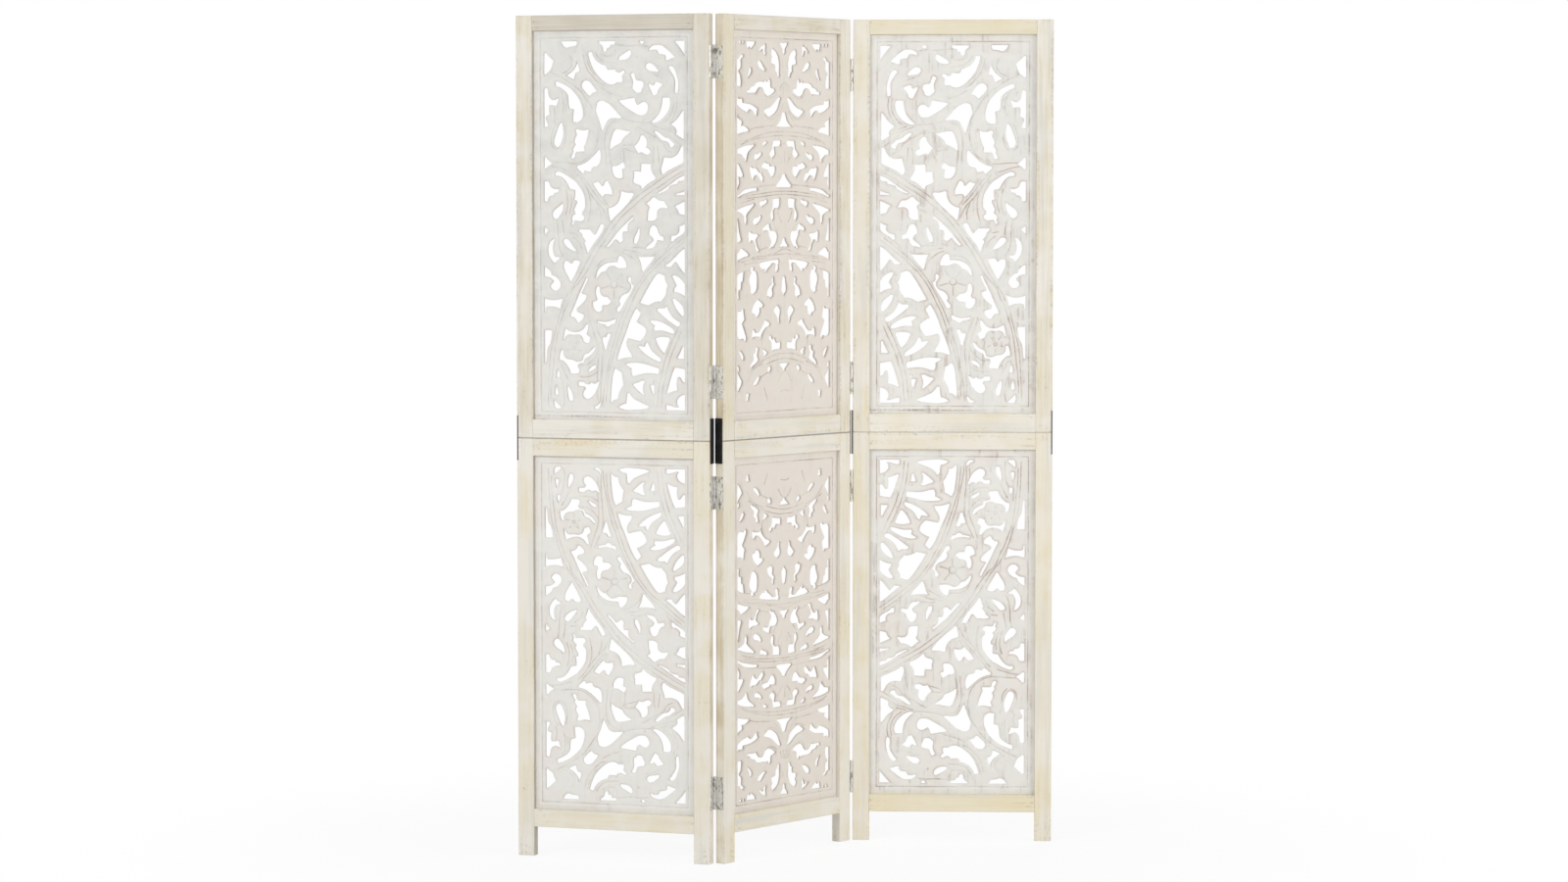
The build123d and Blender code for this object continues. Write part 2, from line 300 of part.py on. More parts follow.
# The middle panel's pattern is symmetric about x = 146. These are the openings of its left half.
MIDDLE_OPENINGS = (
    [(6, 0.5), (14, 0.5), [13.5, 4.5], (7, 5)],
    [(16, 0.5), (23, 0.5), (22, 5.5), (17, 5.5)],
    [(28.5, 1), (57, 1), [55.5, 6], [49, 12], (43, 16), (41, 14.5), (39.5, 11), [36, 14.5], (31.5, 13.5),
     [29.5, 7]],
    [(68, 18), [72, 13], [78, 8.5], (83, 7.5), (84.5, 4.5), (88.5, 4), [90, 9], [89, 16], (91, 22),
     (88, 27.5), (84, 26), [82, 20.5], (79.5, 14.5), [75, 18], (70, 19.5)],
    [(107, 17), (111, 13), [118, 16], [127, 24], [131.5, 34], [133.3, 47], [132.8, 59], (133.5, 67),
     (129.5, 69.5), [125.5, 66.5], (124, 61), (118, 56), [119, 51], [118, 46], (113, 43.5), (106, 41.5),
     [106.5, 34.5], (109, 29), [105.8, 22]],
    [(0.5, 36.5), [7, 34], [12.5, 27.5], (17, 26), (22, 29.5), (19, 33), [14, 38], [14.5, 47], [13, 53],
     (8, 57), (7, 61), [11.5, 66], [14, 77], [14, 86], (12, 89.5), (0.5, 88.5)],
    [(37.5, 53), [42, 50.5], [46, 55], [45, 62], [40, 68], (32, 73), (30.5, 71), [34, 65], [36.5, 59]],
    [(63.5, 42), [69, 37.5], [75, 39.5], [82, 47], (89.5, 55), (86.5, 58.5), [80, 56.5], [71, 52.5],
     [65, 47]],
    [(30.5, 95), (38, 96), [42, 91], [48, 88.5], (54, 87), [60, 81], [68, 79], [77, 78.5], (85, 79),
     (87, 76), (92, 76), (95, 79), (96, 74.5), [100, 72.5], [105, 76.5], [106, 84], (109, 91),
     (115, 91.5), (120, 96), [113, 101], [105, 104.5], (92, 105.5), (85, 101), [80.5, 93], [77, 90],
     [70, 90], [65, 94], [61, 99.5], (57, 103.5), (53.5, 100.5), (31, 101.5)],
    [(0.5, 112), [4, 110.5], (8, 114), [13, 112.5], (19, 114.5), (19.5, 121), [31, 122], [46, 124],
     [57, 128], (66, 133), [63.5, 138], (63, 144), (58, 146), [53, 141], [46, 134.5], [41, 133],
     [36, 137.5], (31, 139), [20, 135.5], [9, 130.5], (0.5, 125)],
    [(129, 109), (132, 107), (137.5, 110), [133.5, 117], [130, 126], [123, 136], [113, 143],
     [103, 146.5], (94, 145.5), [88, 141], (82, 136), [88, 132.5], [99, 129.5], [111, 123],
     [121, 114.5]],
    [(0.5, 145), [5, 150], [12, 154], [16.5, 156.5], (16.8, 162), (15, 166), [25, 166.5], [33, 169.5],
     (38.5, 175), (32, 177.5), [20, 178.5], [9, 181], (0.5, 182.5)],
    [(1, 212), [9, 208.8], [22, 205.5], [35, 203.5], (46, 203), (51, 200.5), (55.5, 202.5), [51, 207],
     [43, 212], [36, 218.5], [33, 226], (31.5, 232), (27.5, 235.5), (23, 234), (24, 229.5), [18.5, 226],
     (15, 222), [8, 220.5], (1, 220)],
    [(52.5, 226), [55, 222], (61, 220), (66, 220.5), [71, 217.5], (75, 216.5), (78.5, 218.5),
     [73, 225.5], [66, 229.5], [58, 231.5], (54, 229.5)],
    [(111.5, 195), (116, 193.5), (136, 193.5), (138, 197), (134, 205), [126, 205], (118, 205.5),
     (117, 209), [119, 215], (119.5, 221), (115, 225), (110, 229.5), [105, 226], (99.5, 222),
     (102, 216), (107.5, 212), (109.5, 205)],
    [(79, 200), [83, 196.5], [88, 195], (95, 197.5), [90, 201], (84.5, 204.5), (80, 203.5)],
    [(0.5, 238), [6, 239.5], [12, 247], [18, 256], (21, 262), (18.5, 265.5), (7.5, 265), (7.5, 269.5),
     [9, 277], [6, 284], (2.5, 289.5), (0.5, 289.5)],
    [(39, 247), (45, 244.5), (50, 248), (58, 247.5), [65, 251], (70, 257), (75, 256.5), [80, 262],
     (83.5, 269), (81, 275), [75, 273.5], [68, 267], (61.5, 261), [57, 263], (54, 268), (52, 271),
     (47, 270), [43, 262], [40, 254]],
    [(76, 243), [81, 239], (87, 235.5), [93, 238.5], (102, 240), (104, 244.5), (110, 244.5),
     (118.5, 243.5), [120, 252], (117, 260), [109, 265], (102.5, 261.5), [98, 256], (93.5, 250.5),
     [86, 249.5], (77, 247)],
    [(0.5, 300.5), (6, 300), [13, 295.5], [21, 291.5], [33, 288.5], [47, 287], (62, 286.5),
     (64.5, 289.5), (62.5, 292.5), [51, 293], [39, 295.5], [26, 298], [14, 301.5], (7, 304.5),
     (0.5, 305)],
    [(0.5, 329), [10, 327], [21, 323.5], [33, 321], (44, 319.5), (50, 316), (55.5, 319.5), [50, 324],
     [42, 330], (34, 336.5), (30.5, 342), [31.8, 350], (30, 357), (25, 358), [22, 352], (22, 346),
     (20.5, 341.5), [11, 335.5], (0.5, 333)],
    [(68.5, 316.5), [74, 313], (82, 312.5), (88, 309.5), (92, 309.5), (95.5, 312.5), [89, 318.5],
     [82, 321], [77, 323.8], (71.5, 321.5)],
    [(48.5, 353), [52, 347.5], (59, 345), (66, 344), [70, 340.5], (75, 340), (77, 343.5), [72, 351],
     [65, 356.5], (58, 359), [51, 357]],
    [(109, 309.5), [118, 308], (133.5, 307.5), (134, 314), [131, 325], (127.5, 328.5), [122, 326],
     (118, 327), (114, 331), [114.5, 338], (115.5, 345), (112, 351.5), (107.5, 350.5), [103.5, 343],
     (104.5, 334), (109, 328), [110.8, 319]],
    [(0.5, 347.5), (3, 346.5), [5.5, 354], [7.5, 366], [10, 376], (14.5, 387), (12, 391.5), (0.5, 393)],
    [(35, 375), [40, 371.5], (46, 374.5), [53, 376.5], (62, 376.5), (69, 379.5), [64, 384],
     (59.5, 388.5), [62, 396], [66, 404], (71, 408.5), (66, 412.5), [60, 409.5], (57, 400), [53, 394],
     (49, 389), (45.5, 389.5), (44.5, 393), (37, 393), [35.5, 384]],
    [(78.5, 369), (81, 364), [88, 361.5], (95, 357), (102, 358), [103.5, 366], (107, 371.5),
     (115, 371.5), [123, 374], (126.5, 381), [124.5, 390], [119, 398], (112, 405.5), (109, 402),
     (105, 407), (98, 405), [103, 399], (106, 393), [103, 386.5], (98.5, 379.5), (98, 374),
     [94, 369.5], [88, 370.5], (82.5, 373)],
    [(0.5, 415), (5, 413.5), [9, 407.5], [14, 405], [22, 407.5], [31, 412], (38.5, 417.5), (34, 420.5),
     [22, 422.5], [11, 426], (7, 427), (4.5, 430.5), (0.5, 429)],
    [(67.5, 436), (75, 433), [87, 431.5], [103, 429.5], (121, 428.5), (127, 426.5), (131, 428.5),
     [131.5, 434], (129, 438.5), [128.5, 448], (125, 451.5), (118.5, 451), [118, 446], [120, 438],
     (118, 434.5), (112, 434), [105, 440], (98, 444.5), [88, 451.5], (83.5, 450.5), (86.5, 446),
     [79, 446.5], [73, 443]],
    [(0.5, 458), [4, 455.5], [11, 452.5], (22.5, 449.5), [21.5, 459], (20, 468.5), (15, 471),
     [14.8, 479], (13, 485.5), (7.5, 486), [6.8, 493], (8, 502), (4, 504.5), (0.5, 503)],
    [(42, 443.5), (47.5, 441), (54, 443.5), (51.5, 448), (57, 449.5), (61.5, 452), [64, 462],
     [64, 476], (63.5, 483), [59, 490], (50, 495.5), (42, 491.5), [41.5, 482], [38, 473], [37, 465],
     [39.5, 458.5], (45.5, 452.5), (42, 449)],
    [(106, 467), (110, 461.5), (114.5, 463), [114.8, 470], (117.5, 477), (113.5, 481), [111, 486],
     [112, 493], (110.5, 500), (102, 504), (99, 500), (92, 498.5), [94, 489], [98, 482.5], (104, 478.5),
     [107.5, 475]],
    [(45.5, 530.5), [47.5, 523], [54, 513], (60, 508), (64, 504.5), [71, 508], [77, 511.5], (83, 517),
     (79.5, 521), (72, 521.5), [72, 530], (68.5, 537), (62, 540.5), (57, 539), (55.5, 534.5),
     (49, 532)],
    [(113, 528), [118, 522], (123, 518.5), (129, 520), (133.5, 524), [135.3, 533], [133, 542],
     [132.5, 547], (135, 551), (130, 553.5), [126.5, 550], [124.5, 543], [119, 536]],
    [(0.5, 528.5), (13.5, 527.5), (15, 523), (21.5, 523), [23, 533], (25.5, 543.5), [20.5, 549],
     (17.5, 552.5), [22, 561], [27, 571], (30.5, 581), (28, 587), (22.5, 586), (19.5, 581),
     [11, 582.5], (4, 581), (0.5, 575)],
    [(46, 572), [48.5, 565], (52, 563.5), (56.5, 567), (58, 570.5), [65, 570.5], [71, 566.5],
     [78, 558.5], (83, 553), (85, 547), [91, 547.5], [97, 549.5], (104, 554.5), (100, 559.5),
     [93, 560.5], [85, 566.5], [79, 573.5], (76, 583), (72, 585), (70, 579), [60, 578], (53, 579),
     (50, 582.5), (45.5, 581)],
    [(98.5, 579.5), (102.5, 576), (108.5, 579), (109.5, 584), (112, 585.5), (113, 581.5), (118, 582.5),
     [120.5, 588], (124, 592.5), (135.5, 590.5), [137, 597], (134.5, 604.5), [124, 604.5],
     (116, 606), (110.5, 608), (106.5, 606), [107, 595], [104, 588], (98.5, 585)],
    [(5.5, 607), (8, 604), [13, 606], [18.5, 611], (22.5, 618), (21.5, 622.5), (17, 624.5),
     [13.5, 621], [10, 614]],
    [(56.5, 601), (61, 599), (68, 600.5), [66, 608], (64, 614), (65.5, 620), (68.5, 624), [63, 629],
     [56, 633], (50, 636), (46, 639.5), (40, 637.5), [44, 630.5], (50, 625.5), [51.5, 620.5],
     (49, 613.5), (53, 611), [56, 608]],
    [(78.5, 606.5), (83, 603.5), [89, 606], (96, 611), [91, 615.5], (86.5, 618), (81.5, 616),
     [82.5, 611]],
    [(93.5, 645), [97, 639.5], (103, 637), (107, 641), [105, 646], (101, 649.5), (96, 649)],
    [(0.5, 634), (4, 633.5), [8, 639], (7.5, 645), (0.5, 643.5)],
    [(0.5, 646.5), (4, 646), [7, 652], [12, 658.5], (16, 663), [15.5, 670], [11, 677], (6.5, 683.5),
     (0.5, 685)],
    [(50, 673), [53, 667.5], [59, 662], (64, 656.5), (72, 658), [69, 664], [65, 670], [60, 673],
     (53, 675)],
    [(27, 691.5), [33, 689.5], (39.5, 691), [37, 696], (37, 702.5), (32.5, 704.5), (28, 701.5),
     [28, 696]],
)

# The openings on the middle panel's centre line, each as the half that runs from x = 146 back to it.
CENTRE_OPENINGS = (
    [(146, 1.5), (134, 0.5), [136, 7], [141, 14], [141.5, 20], (146, 24)],
    [(146, 137.5), (141, 138), [138.5, 144], [134.5, 154], [127, 161.5], (119, 166), (146, 166.5)],
    [(146, 259.5), (140.5, 260), [138, 265.5], [133, 271.5], [127, 276.5], (121, 282), (124, 285.5),
     (146, 285.5)],
    [(146, 385), (141.5, 386.5), [140, 392], [136.5, 396.5], (131.5, 401.5), (139, 403), (146, 402)],
    [(146, 460.5), [141.5, 463], [139.5, 470], [138, 479], (138, 490), (141, 493.5), (146, 499.5)],
    [(146, 633), (130.5, 633.5), [136, 639], (141, 643), (142, 647.5), (146, 648)],
)


def mirrored(outline):
    """The same outline on the other side of the field's centre line."""
    return [type(point)((pattern_width - point[0], point[1])) for point in outline]


def closed_over_centre(half):
    """A whole opening from its half on one side of the centre line."""
    return list(half) + mirrored(half)[-2:0:-1]


side_pattern = list(SIDE_OPENINGS)
side_pattern_mirrored = [mirrored(outline) for outline in SIDE_OPENINGS]
middle_pattern = (list(MIDDLE_OPENINGS) + [mirrored(outline) for outline in MIDDLE_OPENINGS]
                  + [closed_over_centre(half) for half in CENTRE_OPENINGS])

# ---- Where the panels stand ---------------------------------------------------------------------


def panel_plane(corner, angle):
    """The plane of a panel's front face, from its left bottom corner and its angle in plan."""
    turn = math.radians(angle)
    return Plane(origin=corner, x_dir=(math.cos(turn), math.sin(turn), 0),
                 z_dir=(math.sin(turn), -math.cos(turn), 0))


# The folds' axes in the middle panel's own coordinates. The left fold turns behind the back faces and
# the right fold in front of the front faces, so the screen closes in a concertina.
left_axis_depth = panel_thickness + pin_offset
right_axis_depth = -pin_offset

middle_plane = panel_plane((0, 0, 0), middle_angle)
left_axis = middle_plane.from_local_coords(Vector(-fold_gap / 2, 0, -left_axis_depth))
right_axis = middle_plane.from_local_coords(Vector(panel_width + fold_gap / 2, 0, -right_axis_depth))


def neighbour_plane(axis, angle, x_on_panel, depth):
    """The plane of a panel that carries the given axis at x_on_panel and at that depth."""
    square = panel_plane((0, 0, 0), angle)
    arm = square.from_local_coords(Vector(x_on_panel, 0, -depth))
    return panel_plane((axis.X - arm.X, axis.Y - arm.Y, 0), angle)


left_plane = neighbour_plane(left_axis, middle_angle - left_fold_angle,
                             panel_width + fold_gap / 2, left_axis_depth)
right_plane = neighbour_plane(right_axis, middle_angle - right_fold_angle,
                              -fold_gap / 2, right_axis_depth)

# The origin goes under the middle of the standing screen, so all three planes are moved by the centre
# of their rounded corners.
corner_centres = [plane.from_local_coords(Vector(x, 0, z))
                  for plane in (left_plane, middle_plane, right_plane)
                  for x in (arris, panel_width - arris)
                  for z in (-arris, arris - panel_thickness)]
centre_x = (min(point.X for point in corner_centres) + max(point.X for point in corner_centres)) / 2
centre_y = (min(point.Y for point in corner_centres) + max(point.Y for point in corner_centres)) / 2
to_centre = Vector(-centre_x, -centre_y, 0)


def moved(plane):
    return Plane(origin=plane.origin + to_centre, x_dir=plane.x_dir, z_dir=plane.z_dir)


panels = {"left": moved(left_plane), "middle": moved(middle_plane), "right": moved(right_plane)}
patterns = {"left": side_pattern, "middle": middle_pattern, "right": side_pattern_mirrored}


def edge_plane(panel, side):
    """The plane of a panel's edge face: y runs up and z points out of the wood."""
    plane = panels[panel]
    if side == "left":
        return Plane(origin=plane.origin, x_dir=plane.z_dir, z_dir=-plane.x_dir)
    return Plane(origin=plane.from_local_coords(Vector(panel_width, 0, 0)),
                 x_dir=-plane.z_dir, z_dir=plane.x_dir)


def across(side, depth):
    """The edge plane's x at a depth behind the front face."""
    return -depth if side == "left" else depth


# ---- Sizes that follow --------------------------------------------------------------------------

total_height = 2 * half_height
board_depth = board_recess + board_thickness / 2
groove_width = board_thickness + 2 * board_play
board_edge = groove_depth - board_edge_play

# The heights of each half: the stiles, the top rail and the bottom rail.
halves = {
    "upper": dict(stile=(half_height, total_height),
                  top_rail=(total_height - upper_top_rail, total_height),
                  bottom_rail=(half_height, half_height + upper_bottom_rail)),
    "lower": dict(stile=(0, half_height),
                  top_rail=(half_height - lower_top_rail, half_height),
                  bottom_rail=(foot_height, foot_height + lower_bottom_rail)),
}


def tenon_heights(rail, span):
    """A rail's tenon leaves out the groove on the board's side and a shoulder on the other."""
    low, high = span
    if rail == "top_rail":
        return low + groove_depth, high - tenon_shoulder
    return low + tenon_shoulder, high - groove_depth


opening_width = panel_width - 2 * stile_width
tenon_length = stile_width - mortise_wall - mortise_spare

# ---- Hinges, plates and their screws ------------------------------------------------------------

# The barrels nearly fill the fold's gap, and so do the two joining plates that face each other there.
barrel_radius = fold_gap / 2 - barrel_play
bore_radius = barrel_radius - barrel_wall
pin_radius = bore_radius - pin_clearance
pin_head_radius = barrel_radius - pin_head_margin
plate_thickness = (fold_gap - plate_gap) / 2
leaf_reach = panel_thickness - leaf_inset
leaf_out = fold_gap / 2 - leaf_thickness
leaf_start = math.sqrt(((bore_radius + barrel_radius) / 2) ** 2 - leaf_out ** 2) - pin_offset
notch_end = math.sqrt((barrel_radius + 2 * knuckle_gap) ** 2 - leaf_out ** 2) - pin_offset
knuckle_height = hinge_height / knuckle_count
head_height = screw_head_radius - screw_radius

hinge_heights = {}
for fold, (from_top, above_joint, below_joint, from_floor) in (("left", left_fold_hinges),
                                                               ("right", right_fold_hinges)):
    hinge_heights[fold] = (total_height - from_top, half_height + above_joint,
                           half_height - below_joint, from_floor)

# The edge faces that meet at each fold: panel, side of the panel, and the fold.
fold_edges = (("left", "right", "left"), ("middle", "left", "left"),
              ("middle", "right", "right"), ("right", "left", "right"))
axis_depths = {"left": left_axis_depth, "right": right_axis_depth}


def fold_of(panel, side):
    for edge_panel, edge_side, fold in fold_edges:
        if (edge_panel, edge_side) == (panel, side):
            return fold
    return None


def from_pin_side(fold, distance):
    """The depth behind the front face of a point this far in from the face that the pin is on."""
    return panel_thickness - distance if fold == "left" else distance


def hinge_screw_points(panel, side):
    """The tops of the hinge screws' heads, in the coordinates of the edge's plane."""
    fold = fold_of(panel, side)
    if fold is None:
        return []
    depth = from_pin_side(fold, (notch_end + leaf_reach) / 2)
    reach = hinge_height / 2 - screw_inset
    step = 2 * reach / (hinge_screws - 1)
    return [(across(side, depth), height - reach + step * row, leaf_thickness)
            for height in hinge_heights[fold] for row in range(hinge_screws)]


def plate_face(panel, side):
    """How far a joining plate stands out of the edge face: only on the folds."""
    return plate_thickness if fold_of(panel, side) else 0.0


def plate_depths(panel, side):
    """The plate's depths behind the front face. On a fold it reaches nearly to the pin's side."""
    fold = fold_of(panel, side)
    if fold:
        return sorted((from_pin_side(fold, plate_pin_inset),
                       from_pin_side(fold, panel_thickness - plate_far_inset)))
    return 0.0, panel_thickness - plate_inset


def plate_screw_points(panel, side):
    """The tops of the plate screws' heads, in the coordinates of the edge's plane."""
    depth = sum(plate_depths(panel, side)) / 2
    reach = plate_height / 2 - plate_screw_inset
    step = 2 * reach / (plate_screws - 1)
    return [(across(side, depth), half_height - reach + step * row, plate_face(panel, side))
            for row in range(plate_screws)]


def within(points, low, high):
    return [point for point in points if low < point[1] < high]


def placed(panel, side, points):
    """Planes that point out of the wood at these points of an edge's plane."""
    edge = edge_plane(panel, side)
    return [Plane(origin=edge.from_local_coords(Vector(*point)), x_dir=edge.x_dir, z_dir=edge.z_dir)
            for point in points]


# ---- Frames -------------------------------------------------------------------------------------

os.makedirs("parts", exist_ok=True)


def make_stile(panel, half, side):
    low, high = halves[half]["stile"]
    label = f"{panel}_{half}_{side}_stile"
    board_low = halves[half]["bottom_rail"][1] - groove_depth
    board_high = halves[half]["top_rail"][0] + groove_depth

    # The stile is drawn from its outer edge face inwards.
    with BuildPart(edge_plane(panel, side)) as stile:
        with Locations((across(side, panel_thickness / 2), (low + high) / 2, -stile_width / 2)):
            Box(panel_thickness, high - low, stile_width)
        fillet(stile.edges(), arris)
        # The groove for the board, stopped at the rails' tenons, which have a mortise each.
        with Locations((across(side, board_depth), (board_low + board_high) / 2, -stile_width)):
            Box(groove_width, board_high - board_low, 2 * groove_depth, mode=Mode.SUBTRACT)
        for rail in ("top_rail", "bottom_rail"):
            tenon_low, tenon_high = tenon_heights(rail, halves[half][rail])
            with Locations((across(side, board_depth), (tenon_low + tenon_high) / 2, -stile_width)):
                Box(tenon_thickness + 2 * tenon_play, tenon_high - tenon_low + 2 * tenon_play,
                    2 * (tenon_length + mortise_spare), mode=Mode.SUBTRACT)
        # On an outer edge the joining plate is let in flush.
        if fold_of(panel, side) is None:
            front, back = plate_depths(panel, side)
            with Locations((across(side, (front + back) / 2), half_height, 0)):
                Box(back - front + 2 * plate_play, plate_height + 2 * plate_play,
                    2 * (plate_thickness + plate_play), mode=Mode.SUBTRACT)
        with Locations(*within(plate_screw_points(panel, side), low, high)):
            Cylinder(screw_radius + screw_play, plate_screw_length + screw_play,
                     align=(Align.CENTER, Align.CENTER, Align.MAX), mode=Mode.SUBTRACT)
        hinge_points = within(hinge_screw_points(panel, side), low, high)
        if hinge_points:
            with Locations(*hinge_points):
                Cylinder(screw_radius + screw_play, screw_length + screw_play,
                         align=(Align.CENTER, Align.CENTER, Align.MAX), mode=Mode.SUBTRACT)

    stile.part.label = label
    export_step(stile.part, f"parts/{label}.step")


def make_rail(panel, half, rail):
    low, high = halves[half][rail]
    label = f"{panel}_{half}_{rail}"
    tenon_low, tenon_high = tenon_heights(rail, (low, high))
    groove_at = low if rail == "top_rail" else high

    with BuildPart(panels[panel]) as bar:
        with Locations((panel_width / 2, (low + high) / 2, -panel_thickness / 2)):
            Box(opening_width, high - low, panel_thickness)
        fillet(bar.edges().filter_by(Axis((0, 0, 0), tuple(panels[panel].x_dir))), arris)
        with Locations((panel_width / 2, groove_at, -board_depth)):
            Box(opening_width, 2 * groove_depth, groove_width, mode=Mode.SUBTRACT)
        with Locations((panel_width / 2, (tenon_low + tenon_high) / 2, -board_depth)):
            Box(opening_width + 2 * tenon_length, tenon_high - tenon_low, tenon_thickness)

    bar.part.label = label
    export_step(bar.part, f"parts/{label}.step")


# ---- Pierced boards -----------------------------------------------------------------------------


def opening_wire(outline, place):
    """The closed wire of one opening, with each of its points put where place says."""
    corners = [index for index, point in enumerate(outline) if isinstance(point, tuple)]
    points = [place(point) for point in outline]
    with BuildLine() as line:
        if not corners:
            Spline(*points, periodic=True)
        else:
            points = points[corners[0]:] + points[:corners[0]]
            ends = [index - corners[0] for index in corners] + [len(points)]
            points.append(points[0])
            for start, end in zip(ends, ends[1:]):
                if end == start + 1:
                    Line(points[start], points[end])
                else:
                    Spline(*points[start:end + 1])
    return line.wire()


def make_board(panel, half):
    label = f"{panel}_{half}_carved_board"
    opening_low = halves[half]["bottom_rail"][1]
    opening_high = halves[half]["top_rail"][0]
    field_width = opening_width - 2 * carving_margin
    field_length = opening_high - opening_low - 2 * carving_margin

    def place(point):
        x = stile_width + carving_margin + field_width * point[0] / pattern_width
        run = carving_margin + field_length * point[1] / pattern_length
        return (x, opening_high - run if half == "upper" else opening_low + run)

    left, right = stile_width - board_edge, panel_width - stile_width + board_edge
    bottom, top = opening_low - board_edge, opening_high + board_edge
    with BuildLine() as rim:
        Polyline((left, bottom), (right, bottom), (right, top), (left, top), close=True)
    openings = [opening_wire(outline, place) for outline in patterns[panel]]

    with BuildPart() as board:
        with BuildSketch(panels[panel].offset(-board_recess)) as face:
            add(Face(rim.wire(), openings))
        extrude(amount=-board_thickness)

    board.part.label = label
    export_step(board.part, f"parts/{label}.step")


# ---- Metalwork ----------------------------------------------------------------------------------


def make_plate(panel, side):
    label = f"{panel}_{side}_joining_plate"
    front, back = plate_depths(panel, side)
    outer = plate_face(panel, side)
    edge = edge_plane(panel, side)

    with BuildPart(edge) as plate:
        with BuildSketch(edge.offset(outer - plate_thickness)) as outline:
            with Locations((across(side, (front + back) / 2), half_height)):
                RectangleRounded(back - front, plate_height, plate_corner)
        extrude(amount=plate_thickness)
        with Locations(*plate_screw_points(panel, side)):
            CounterSinkHole(screw_radius + screw_play, screw_head_radius + screw_play,
                            depth=2 * plate_thickness, counter_sink_angle=90)

    plate.part.label = label
    export_step(plate.part, f"parts/{label}.step")


def make_screws(panel, name, points, length):
    label = f"{panel}_{name}"
    places = placed(panel, "left", points(panel, "left")) + placed(panel, "right",
                                                                   points(panel, "right"))
    with BuildPart() as screws:
        with Locations(*places):
            Cone(screw_radius, screw_head_radius, head_height,
                 align=(Align.CENTER, Align.CENTER, Align.MAX))
            Cylinder(screw_radius, length - screw_point,
                     align=(Align.CENTER, Align.CENTER, Align.MAX))
        with Locations(*[place.offset(screw_point - length) for place in places]):
            Cone(screw_radius / 4, screw_radius, screw_point,
                 align=(Align.CENTER, Align.CENTER, Align.MAX))
        with Locations(*places):
            Box(2 * screw_head_radius, screw_slot_width, 2 * screw_slot_depth, rotation=(0, 0, 35),
                mode=Mode.SUBTRACT)

    screws.part.label = label
    export_step(screws.part, f"parts/{label}.step")


def knuckle_spans(middle):
    """The heights of a leaf's knuckles about the hinge's centre. The middle panel has the end ones."""
    first = 0 if middle else 1
    return [(-hinge_height / 2 + knuckle_height * index + knuckle_gap / 2,
             -hinge_height / 2 + knuckle_height * (index + 1) - knuckle_gap / 2)
            for index in range(first, knuckle_count, 2)]


def make_leaf(panel, side, fold, number, height):
    label = f"{fold}_fold_hinge_{number}_{panel}_leaf"
    edge = edge_plane(panel, side)
    inner, outer = from_pin_side(fold, notch_end), from_pin_side(fold, leaf_reach)
    start = from_pin_side(fold, leaf_start)
    pin_x = across(side, axis_depths[fold])

    with BuildPart(edge) as leaf:
        with BuildSketch(edge) as slab:
            with Locations((across(side, (inner + outer) / 2), height)):
                Rectangle(abs(outer - inner), hinge_height)
            far = slab.vertices().sort_by(lambda vertex: abs(vertex.X - pin_x))[-2:]
            fillet(far, leaf_corner)
        extrude(amount=leaf_thickness)
        for low, high in knuckle_spans(panel == "middle"):
            with Locations((across(side, (start + inner) / 2), height + (low + high) / 2,
                            leaf_thickness / 2)):
                Box(abs(inner - start), high - low, leaf_thickness)
            with Locations((pin_x, height + (low + high) / 2, fold_gap / 2)):
                Cylinder(barrel_radius, high - low, rotation=(90, 0, 0))
        with Locations((pin_x, height, fold_gap / 2)):
            Cylinder(bore_radius, 2 * hinge_height, rotation=(90, 0, 0), mode=Mode.SUBTRACT)
        points = within(hinge_screw_points(panel, side), height - hinge_height / 2,
                        height + hinge_height / 2)
        with Locations(*points):
            CounterSinkHole(screw_radius + screw_play, screw_head_radius + screw_play,
                            depth=2 * leaf_thickness, counter_sink_angle=90)

    leaf.part.label = label
    export_step(leaf.part, f"parts/{label}.step")


def make_pins(fold, axis):
    label = f"{fold}_fold_hinge_pins"
    reach = hinge_height / 2 + pin_clearance
    with BuildPart() as pins:
        for height in hinge_heights[fold]:
            with Locations((axis.X, axis.Y, height)):
                Cylinder(pin_radius, 2 * reach)
            with Locations((axis.X, axis.Y, height + reach + pin_head_height / 2),
                           (axis.X, axis.Y, height - reach - pin_head_height / 2)):
                Cylinder(pin_head_radius, pin_head_height)

    pins.part.label = label
    export_step(pins.part, f"parts/{label}.step")


# ---- The screen ---------------------------------------------------------------------------------

for panel in panels:
    for half in halves:
        make_stile(panel, half, "left")
        make_stile(panel, half, "right")
        make_rail(panel, half, "top_rail")
        make_rail(panel, half, "bottom_rail")
        make_board(panel, half)
    make_plate(panel, "left")
    make_plate(panel, "right")
    make_screws(panel, "plate_screws", plate_screw_points, plate_screw_length)
    make_screws(panel, "hinge_screws", hinge_screw_points, screw_length)

for panel, side, fold in fold_edges:
    for number, height in enumerate(hinge_heights[fold], start=1):
        make_leaf(panel, side, fold, number, height)

make_pins("left", left_axis + to_centre)
make_pins("right", right_axis + to_centre)
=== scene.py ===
# %% [markdown]
# # A jali screen of three folding panels
# A jali is a board that is sawn through with a pattern and then carved on its face. This screen has six of
# them, each held in a frame of whitewashed mango wood. Everything with a size is already there as a packed
# model, so this file adds the looks: the carver's cuts, the thin white paint and the wear on it, the metal of
# the hinges, and a plain studio.

# %% Load the packed screen
import bmesh
import bpy
import math
import numpy as np
from types import SimpleNamespace
from mathutils import Matrix, Vector, geometry
from mathutils.bvhtree import BVHTree


